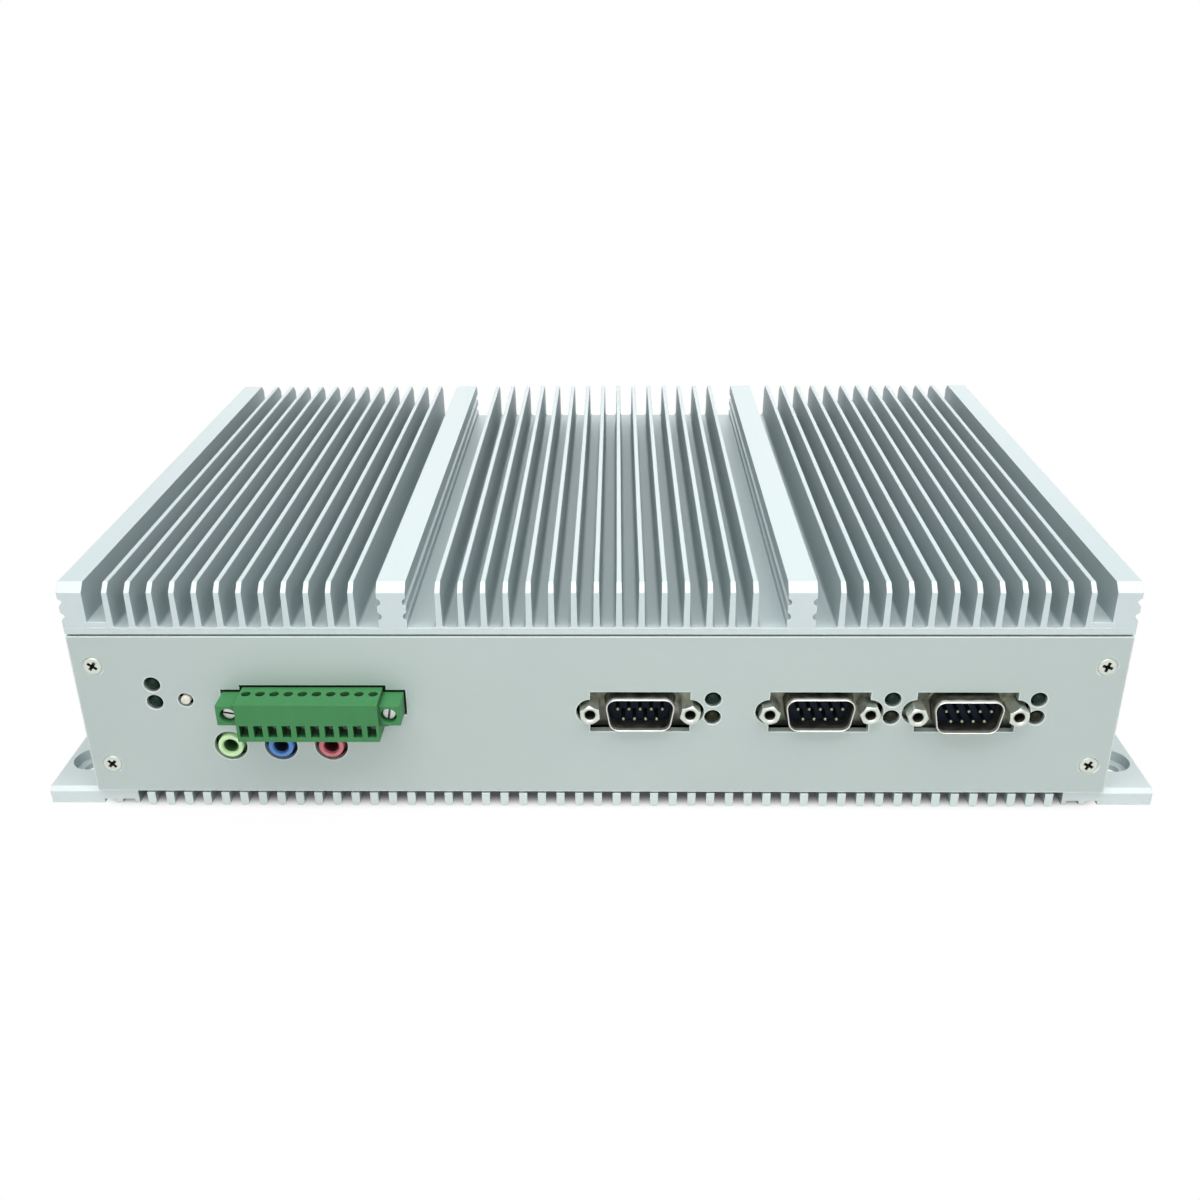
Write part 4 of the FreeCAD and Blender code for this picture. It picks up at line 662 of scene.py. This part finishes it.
DARK_STEEL = plated("oiled_thread", tone(64, 64, 58), tone(34, 34, 30), 0.4)
across_flats, post_bore, post_spacing, post_reach = 0.00475, 0.00135, 0.02499, 0.0059
thread_pitch, thread_depth = 0.0005, 0.00017
for node, name, sources, facing in (
        ("serial_jackscrews", "front_posts", front_shells, "front"),
        ("video_jackscrews", "rear_posts", ("video_shell",), "rear")):
    post, foot_ring, rim_ring = bmesh.new(), [], []
    for step in range(48):
        angle = 2 * math.pi * step / 48
        radius = across_flats / 2 / math.cos((angle % (math.pi / 3)) - math.pi / 6)
        level = post_reach - 0.0001 - (radius - across_flats / 2) * 0.9
        for ring, height in ((foot_ring, 0.0), (rim_ring, level)):
            ring.append(post.verts.new((radius * math.cos(angle), radius * math.sin(angle), height)))
    inner = turned(post, [(across_flats / 2 * 0.93, post_reach), (post_bore + 0.00035, post_reach - 0.00005),
                          (post_bore, post_reach - 0.00035), (post_bore, post_reach - 0.0042),
                          (0, post_reach - 0.0042)], steps=48)
    bridged(post, [foot_ring, rim_ring, inner[0]])
    shank = turned(post, [(0.0015, 0.0), (0.0015, -0.0046), (0.0012, -0.005), (0, -0.005)], steps=48)
    bridged(post, [shank[0], foot_ring])
    crest = post_bore - 0.00005
    thread = [(crest, post_reach - 0.0004)]
    for number in range(7):
        start = post_reach - 0.0006 - thread_pitch * number
        thread += [(crest - thread_depth, start), (crest, start - thread_pitch / 2)]
    thread += [(post_bore - 0.0003, post_reach - 0.0041), (0, post_reach - 0.0041)]
    lining = bmesh.new()
    turned(lining, thread, steps=24)
    spots = []
    for source in sources:
        middle = ear_face(*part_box(source), facing)
        for across in (middle.x + post_spacing / 2, middle.x - post_spacing / 2):
            spots.append((across, middle.y, middle.z, facing, 17 + 19 * len(spots)))
    show(seat(name, post, NICKEL, spots), name, NICKEL, node)
    show(seat(name + "_threads", lining, DARK_STEEL, spots), name + "_threads", DARK_STEEL, slot="nickel")


def pin_finish(name, mouth):
    """A contact pin, bright at its rounded tip, with painted shade along the rest."""
    finish = Finish(name)
    cloud = finish.noise(0.0006)
    tip = finish.along("Y") < mouth + 0.0003
    # The dark colour behind the tip is painted shade.
    return finish.surface(Base_Color=finish.between(tip, tone(28, 34, 44), tone(146, 150, 124)), Metallic=0.6,
                          Roughness=0.3 + cloud * 0.1)


pin_radius, pin_pitch, row_rise = 0.0005, 0.00277, 0.00142
for number in (1, 2, 3):
    low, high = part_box(f"serial_pins_{number}")
    length = high[1] - low[1]
    pin = bmesh.new()
    turned(pin, [(0, -length), (0.0003, -length), (pin_radius, -length + 0.0003), (pin_radius, -0.0006),
                 (0.0004, -0.00028), (0.00025, -0.00008), (0, 0)], steps=16)
    middle, level, spots = (low[0] + high[0]) / 2, (low[2] + high[2]) / 2, []
    for count, rise in ((5, row_rise), (4, -row_rise)):
        spots += [(middle + (place - (count - 1) / 2) * pin_pitch, low[1], level + rise, "front", 0)
                  for place in range(count)]
    finish = pin_finish(f"pin_metal_{number}", low[1])
    show(seat(f"contact_pins_{number}", pin, finish, spots), f"contact_pins_{number}", finish,
         f"serial_pins_{number}")


# ---- Mouldings of the sockets ----
# Glass-filled plastics, each moulded in its own colour with a faint flow pattern and a satin skin.

def moulded(name, pale, deep, roughness=0.38, edge=None, gloss=0.4):
    """Moulded plastic with a fine spark-eroded skin and painted shade deep in its openings. With an edge
    colour, its edges carry a painted highlight."""
    finish = Finish(name)
    flow = finish.noise(0.004, (1, 1, 2))
    skin = finish.noise(0.0004, detail=4.0, roughness=0.6)
    colour = finish.between(flow * 0.6 + skin * 0.4, deep, pale)
    # The edge colour is a painted highlight on the edges.
    if edge:
        colour = finish.between(finish.edges(0.0003) * 0.7, colour, edge)
    # The shade colour is painted shade deep in openings and corners.
    shade = [one * 0.12 for one in deep[:3]] + [1.0]
    colour = finish.between(finish.painted_shade_mask(0.0025) * 1.8 - 0.5, shade, colour)
    return finish.surface(
        Base_Color=colour, Roughness=roughness + skin * 0.15, Specular_IOR_Level=gloss,
        Normal=finish.relief(skin, 0.000008, rounding=0.00018))


NAVY = moulded("navy_insulator", tone(20, 33, 50), tone(11, 19, 32), 0.45, gloss=0.2)
dress(NAVY, "serial_insulator_1", "serial_insulator_2", "serial_insulator_3", "video_insulator")


# ---- Lights and button ----
# Round lamps in dark tinted resin stand on the front board and just reach through the panel, in pairs over
# one another. The ivory button beside them is the cap of a small push switch.

LENS_GREEN = moulded("green_lens", tone(13, 46, 32), tone(6, 26, 18), 0.25, gloss=0.15)
LENS_OLIVE = moulded("olive_lens", tone(34, 38, 15), tone(17, 20, 8), 0.25, gloss=0.15)
radius, middle_light = 0.0019, 0.0735
for node, name, finish in (("status_lights", "status_lenses", LENS_GREEN),
                           ("send_lights", "send_lenses", LENS_GREEN),
                           ("receive_lights", "receive_lenses", LENS_OLIVE)):
    low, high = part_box(node)
    length = high[1] - low[1]
    lens = bmesh.new()
    dome = [(radius * math.sin(math.radians(turn)), radius * (math.cos(math.radians(turn)) - 1))
            for turn in (90, 75, 60, 45, 30, 15)]
    turned(lens, [(0, -length), (radius, -length)] + dome + [(0, 0)])
    if node == "status_lights":
        spots = [(low[0] + radius, low[1], up, "front", 0) for up in (low[2] + radius, high[2] - radius)]
    else:
        spots = [(across, low[1], low[2] + radius, "front", 0)
                 for across in (low[0] + radius, middle_light, high[0] - radius)]
    show(seat(name, lens, finish, spots), name, finish, node)

low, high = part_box("front_button")
cap, foot, collar, stem = bmesh.new(), low[1] - high[1], 0.0019, 0.0012
turned(cap, [(0, foot), (collar - 0.0001, foot), (collar, foot + 0.0001), (collar, foot + 0.0008),
             (stem, foot + 0.0008), (stem, -0.0003), (0.00112, -0.0001), (0.0009, 0), (0, 0.0)], steps=32)
for point in cap.verts:
    point.co = Vector(((low[0] + high[0]) / 2, low[1], (low[2] + high[2]) / 2)) + FACING["front"] @ point.co
IVORY = moulded("ivory_button", tone(232, 230, 218), tone(212, 210, 196))
show(cap, "button_cap", IVORY, "front_button", body="front_button")


# ---- Sound sockets ----
# Three round sockets on the main board, told apart by their rings: lime, blue and pink. Each ring stands a
# hair proud of the panel in a hole a little larger than itself and has a rounded mouth.

# Its edge colour is a painted highlight.
BLACK = moulded("black_moulding", tone(26, 29, 30), tone(13, 16, 17), edge=tone(42, 46, 47), gloss=0.25)
ring, bore, ring_foot, case_start, bore_foot = 0.0032, 0.0018, -0.0034, 0.0042, -0.0130
# The last colour of each socket is painted shade: its bore lining and case are coloured darker than the ring.
for node, name, pale, deep, shade in (
        ("line_out_jack", "lime_socket", (226, 252, 208), (190, 236, 164), (62, 120, 60)),
        ("line_in_jack", "blue_socket", (110, 160, 228), (76, 126, 204), (16, 34, 72)),
        ("microphone_jack", "pink_socket", (232, 140, 148), (202, 98, 112), (92, 18, 34))):
    low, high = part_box(node)
    face, across, up = low[1], (low[0] + high[0]) / 2, (low[2] + high[2]) / 2
    socket = bmesh.new()
    turned(socket, [(bore + 0.0001, ring_foot), (bore + 0.0001, -0.0005), (bore + 0.0002, -0.0003),
                    (bore + 0.0004, 0.0), (ring - 0.0004, 0.0), (ring - 0.0001, -0.0001), (ring, -0.0004),
                    (ring, ring_foot), (bore + 0.0001, ring_foot)], steps=48)
    bmesh.ops.remove_doubles(socket, verts=socket.verts, dist=0.000001)
    core = bmesh.new()
    turned(core, [(0, bore_foot), (bore - 0.0003, bore_foot), (bore - 0.0003, -0.0010),
                  (bore - 0.0001, -0.0006), (bore + 0.00005, -0.0006), (bore + 0.00005, ring_foot),
                  (ring + 0.0008, ring_foot), (ring + 0.0008, -0.0043), (0, bore_foot - 0.0003)], steps=48)
    case_foot = high[1] - face
    case = Matrix.Translation((0, 0, -(case_foot + case_start) / 2)) @ Matrix.Diagonal(
        (high[0] - low[0], high[2] - low[2], case_foot - case_start, 1))
    bmesh.ops.create_cube(core, size=1.0, matrix=case)
    for mesh in (socket, core):
        for point in mesh.verts:
            point.co = Vector((across, face, up)) + FACING["front"] @ point.co
    show(socket, name, moulded(name, tone(*pale), tone(*deep), 0.3), node)
    show(core, name + "_bore", moulded(name + "_bore", tone(*shade), tone(*[one // 2 for one in shade]), 0.5),
         slot="black_plastic")


# ---- Terminal block ----
# A black socket on the front board and the green plug that is screwed to it by its two wings. Each of the
# ten ways has a square mouth for a wire in front and a screw in a recess on top.

# Its edge colour is a painted highlight, and its mouths and recesses carry painted shade.
PLUG_GREEN = moulded("plug_green", tone(70, 140, 86), tone(58, 122, 72), 0.42, edge=tone(92, 160, 106),
                     gloss=0.25)
eased("terminal_plug", "green_plug", PLUG_GREEN, 0.0002, angle=55)
eased("terminal_header", "plug_socket", BLACK, 0.0002, angle=55)
ZINC = plated("zinc_plate", tone(232, 232, 230), tone(196, 198, 198), 0.3)
eased("plug_flange_screws", "wing_screws", ZINC, 0.00012, angle=50)
dress(ZINC, "wire_clamp_screws", "wire_clamps", "terminal_pins")


# ---- Boards and what stands on them ----
# Fibreglass boards under green lacquer, with copper tracks that show as paler lines, tinned pads, black
# packages, aluminium cans and zinc-plated brackets.

def circuit_board(name):
    """Green lacquer over copper: straight tracks in two directions, and round tinned pads."""
    finish = Finish(name)
    across, along, up = finish.along("X"), finish.along("Y"), finish.along("Z")
    flat = finish.add("ShaderNodeCombineXYZ", None, across, along + up, 0.0)
    cells = finish.add("ShaderNodeTexVoronoi", {"voronoi_dimensions": "2D", "distance": "CHEBYCHEV"},
                       Vector=flat, Scale=420.0, Randomness=0.7, out="Distance")
    pads = finish.add("ShaderNodeTexVoronoi", {"voronoi_dimensions": "2D"}, Vector=flat, Scale=260.0,
                      out="Distance")
    tracks = (cells > 0.42) * 0.8
    lacquer = finish.between(finish.noise(0.01), tone(20, 74, 46), tone(28, 92, 56))
    copper = finish.between(tracks, lacquer, tone(52, 126, 74))
    tin = pads < 0.13
    return finish.surface(Base_Color=finish.between(tin, copper, tone(200, 200, 190)), Metallic=tin * 0.8,
                          Roughness=0.34 - tin * 0.08, Coat_Weight=0.3,
                          Normal=finish.relief(tracks + tin, 0.00003))


BOARD = circuit_board("board_lacquer")
dress(BOARD, "main_board", "front_board", "memory_module", "drive_riser")
dress(BLACK, "button_switch", "board_link", "memory_socket", "cell_holder", "processor", "usb_tongues")
dress(ZINC, "board_standoffs", "inner_screws", "drive_bracket", "drive_screws")
MILLED = anodised("milled_block", tone(206, 210, 211), tone(188, 192, 194), tone(226, 229, 229))
dress(MILLED, "heat_block", "storage_drive")
dress(moulded("heat_paste", tone(188, 190, 190), tone(170, 172, 172), 0.6), "processor_paste")
dress(moulded("ferrite", tone(74, 74, 78), tone(54, 54, 58), 0.6), "supply_coils")

low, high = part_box("capacitors")
can_radius, can_height, can_pitch = (high[1] - low[1]) / 2, high[2] - low[2], 0.011
can = bmesh.new()
turned(can, [(0, 0), (can_radius, 0), (can_radius, can_height * 0.12),
             (can_radius - 0.0003, can_height * 0.16), (can_radius, can_height * 0.2),
             (can_radius, can_height - 0.0004), (can_radius - 0.0004, can_height),
             (can_radius - 0.0009, can_height - 0.0001), (0, can_height - 0.0001)])
spots = [(low[0] + can_radius + can_pitch * number, (low[1] + high[1]) / 2, low[2], "up", 0)
         for number in range(4)]
show(seat("supply_cans", can, MILLED, spots), "supply_cans", MILLED, "capacitors")

low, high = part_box("coin_cell")
cell, radius, thick = bmesh.new(), (high[0] - low[0]) / 2, high[2] - low[2]
turned(cell, [(0, 0), (radius - 0.0008, 0), (radius - 0.0006, 0.0004), (radius, 0.0005),
              (radius, thick - 0.0003), (radius - 0.0003, thick), (0, thick)], steps=48,
       place=((low[0] + high[0]) / 2, (low[1] + high[1]) / 2, low[2]))
show(cell, "clock_cell", ZINC, "coin_cell")


# ---- Rear sockets ----
# A moulded supply inlet with its centre pin, two network sockets in shielded black mouldings with eight
# sprung gilt contacts each, and two pairs of serial bus sockets in pressed tin shells.

eased("power_inlet", "supply_inlet", BLACK, 0.0003, angle=50)
dress(NICKEL, "power_inlet_pin")
eased("usb_shells", "bus_shells", SHELL_TIN, 0.00015, angle=50)
SHIELD = plated("shield_tin", tone(206, 208, 206), tone(170, 173, 172), 0.3)
eased("network_sockets", "network_shields", SHIELD, 0.0002, angle=50)

contact = bmesh.new()
wire, mouth_top, spring_pitch, spring_start = 0.00022, 0.0246, 0.00102, 0.0775
bar(contact, [(mouth_top - drop, -wire, wire, half_long, half_long)
              for drop, half_long in ((0.0022, 0.0026), (0.0018, 0.003), (0.0003, 0.0036))])
PIN_GOLD = plated("flash_gold", tone(226, 220, 198), tone(198, 190, 166), 0.26)
spring_mesh = plain_mesh(contact, "contact_spring")
springs = bmesh.new()
for middle in (-0.03, -0.01):
    springs.from_mesh(follow(even_row, spring_mesh, "contact_springs", Count=8,
                             Start=(middle - 3.5 * spring_pitch, spring_start, 0),
                             Step=(spring_pitch, 0, 0), Finish=PIN_GOLD))
show(springs, "network_contacts", PIN_GOLD, slot="gold")


# ---- Floor, light and camera ----
# A white floor under soft lamps above, in front and behind. Near the part's foot the floor shows the part's
# own shadow, and under the foot a darker painted shadow. From below the floor can be seen through. The camera
# stands in front and looks down at the part.

def straight_sight(graph):
    """A mask that is 1 for rays from the camera, from a mirror or through glass, and 0 for soft light."""
    seen = graph.add("ShaderNodeLightPath", out="Is Camera Ray")
    mirrored = graph.add("ShaderNodeLightPath", out="Is Glossy Ray")
    clear = graph.add("ShaderNodeLightPath", out="Is Transmission Ray")
    return graph.add("ShaderNodeMath", {"operation": "ADD", "use_clamp": True}, seen + mirrored, clear)


floor_mesh = bpy.data.meshes.new("floor")
reach = 4.0
floor_mesh.from_pydata([(-reach, -reach, 0), (reach, -reach, 0), (reach, reach, 0), (-reach, reach, 0)], [],
                       [(0, 1, 2, 3)])
floor = bpy.data.objects.new("floor", floor_mesh)
bpy.context.collection.objects.link(floor)
sweep = Finish("white_floor")
soft_corner = 0.006
foot = [one - soft_corner for one in (sink_high.x, sink_high.y)]
spread = sweep.add("ShaderNodeVectorMath", {"operation": "ABSOLUTE"}, sweep.place)
spread = sweep.add("ShaderNodeVectorMath", {"operation": "SUBTRACT"}, spread, (*foot, 0))
spread = sweep.add("ShaderNodeVectorMath", {"operation": "MAXIMUM"}, spread, (0, 0, 0))
away = sweep.add("ShaderNodeVectorMath", {"operation": "LENGTH"}, spread, out="Value")
under = sweep.add("ShaderNodeMapRange", {"interpolation_type": "SMOOTHSTEP"}, Value=away, From_Min=0.001,
                  From_Max=0.009, To_Min=0.95, To_Max=0.0)
near = sweep.add("ShaderNodeMapRange", {"interpolation_type": "SMOOTHSTEP"}, Value=away, From_Min=0.006,
                 From_Max=0.03, To_Min=0.05, To_Max=0.0)
paper = sweep.add("ShaderNodeBsdfDiffuse", None, Color=(0.8, 0.8, 0.8, 1))
# Under the part's foot the paper turns dark as a painted shadow.
painted_shadow_paper = sweep.add("ShaderNodeBsdfDiffuse", None, Color=(0.2, 0.2, 0.2, 1))
paper = sweep.add("ShaderNodeMixShader", None, under, paper, painted_shadow_paper)
glow = sweep.add("ShaderNodeEmission", None, Color=(1, 1, 1, 1), Strength=1.0)
dark = sweep.add("ShaderNodeMath", {"operation": "MAXIMUM"}, under, near)
mixed = sweep.add("ShaderNodeMixShader", None, straight_sight(sweep) * (1 - dark), paper, glow)
below = sweep.add("ShaderNodeNewGeometry", out="Backfacing")
mixed = sweep.add("ShaderNodeMixShader", None, below, mixed, sweep.add("ShaderNodeBsdfTransparent"))
sweep.add("ShaderNodeOutputMaterial", None, Surface=mixed)
floor_mesh.materials.append(sweep.material)

world = bpy.data.worlds.new("studio")
bpy.context.scene.world = world
world.use_nodes = True
sky = Graph(world.node_tree)
world.node_tree.nodes.clear()
shade = sky.add("ShaderNodeMix", {"data_type": "RGBA"}, Factor_Float=straight_sight(sky),
                A_Color=(0.22, 0.222, 0.235, 1), B_Color=(1, 1, 1, 1), out="Result_Color")
backdrop = sky.add("ShaderNodeBackground", None, Color=shade, Strength=1.0)
sky.add("ShaderNodeOutputWorld", None, Surface=backdrop)


def softbox(name, place, wide, tall, watts):
    """A flat lamp that faces the middle of the part."""
    lamp = bpy.data.lights.new(name, "AREA")
    lamp.shape, lamp.size, lamp.size_y, lamp.energy = "RECTANGLE", wide, tall, watts
    piece = bpy.data.objects.new(name, lamp)
    bpy.context.collection.objects.link(piece)
    direction = Vector((0, 0, 0.03)) - Vector(place)
    piece.matrix_world = Matrix.Translation(place) @ direction.to_track_quat("-Z", "Y").to_matrix().to_4x4()


softbox("overhead", (0.03, -0.24, 0.5), 0.8, 0.25, 3.0)
softbox("front", (0.0, -1.2, 0.5), 0.8, 0.8, 4.0)
softbox("rear", (0.0, 1.2, 0.3), 1.2, 0.4, 5.5)

pitch, yaw, roll = (math.radians(angle) for angle in (25.77, -0.941, -0.41))
forward = Vector((math.sin(yaw) * math.cos(pitch), math.cos(yaw) * math.cos(pitch), -math.sin(pitch)))
right = Vector((math.cos(yaw), -math.sin(yaw), 0))
upward = right.cross(forward)
turned_right = right * math.cos(roll) + upward * math.sin(roll)
turned_up = upward * math.cos(roll) - right * math.sin(roll)
camera = bpy.data.objects.new("camera", bpy.data.cameras.new("camera"))
bpy.context.collection.objects.link(camera)
camera.data.lens = 37.13
camera.data.shift_x = 0.00125
camera.data.clip_start = 0.01
stance = Matrix((turned_right, turned_up, -forward)).transposed().to_4x4()
camera.matrix_world = Matrix.Translation((0.0049, -0.3529, 0.1884)) @ stance
bpy.context.scene.camera = camera
bpy.context.scene.view_settings.view_transform = "Standard"
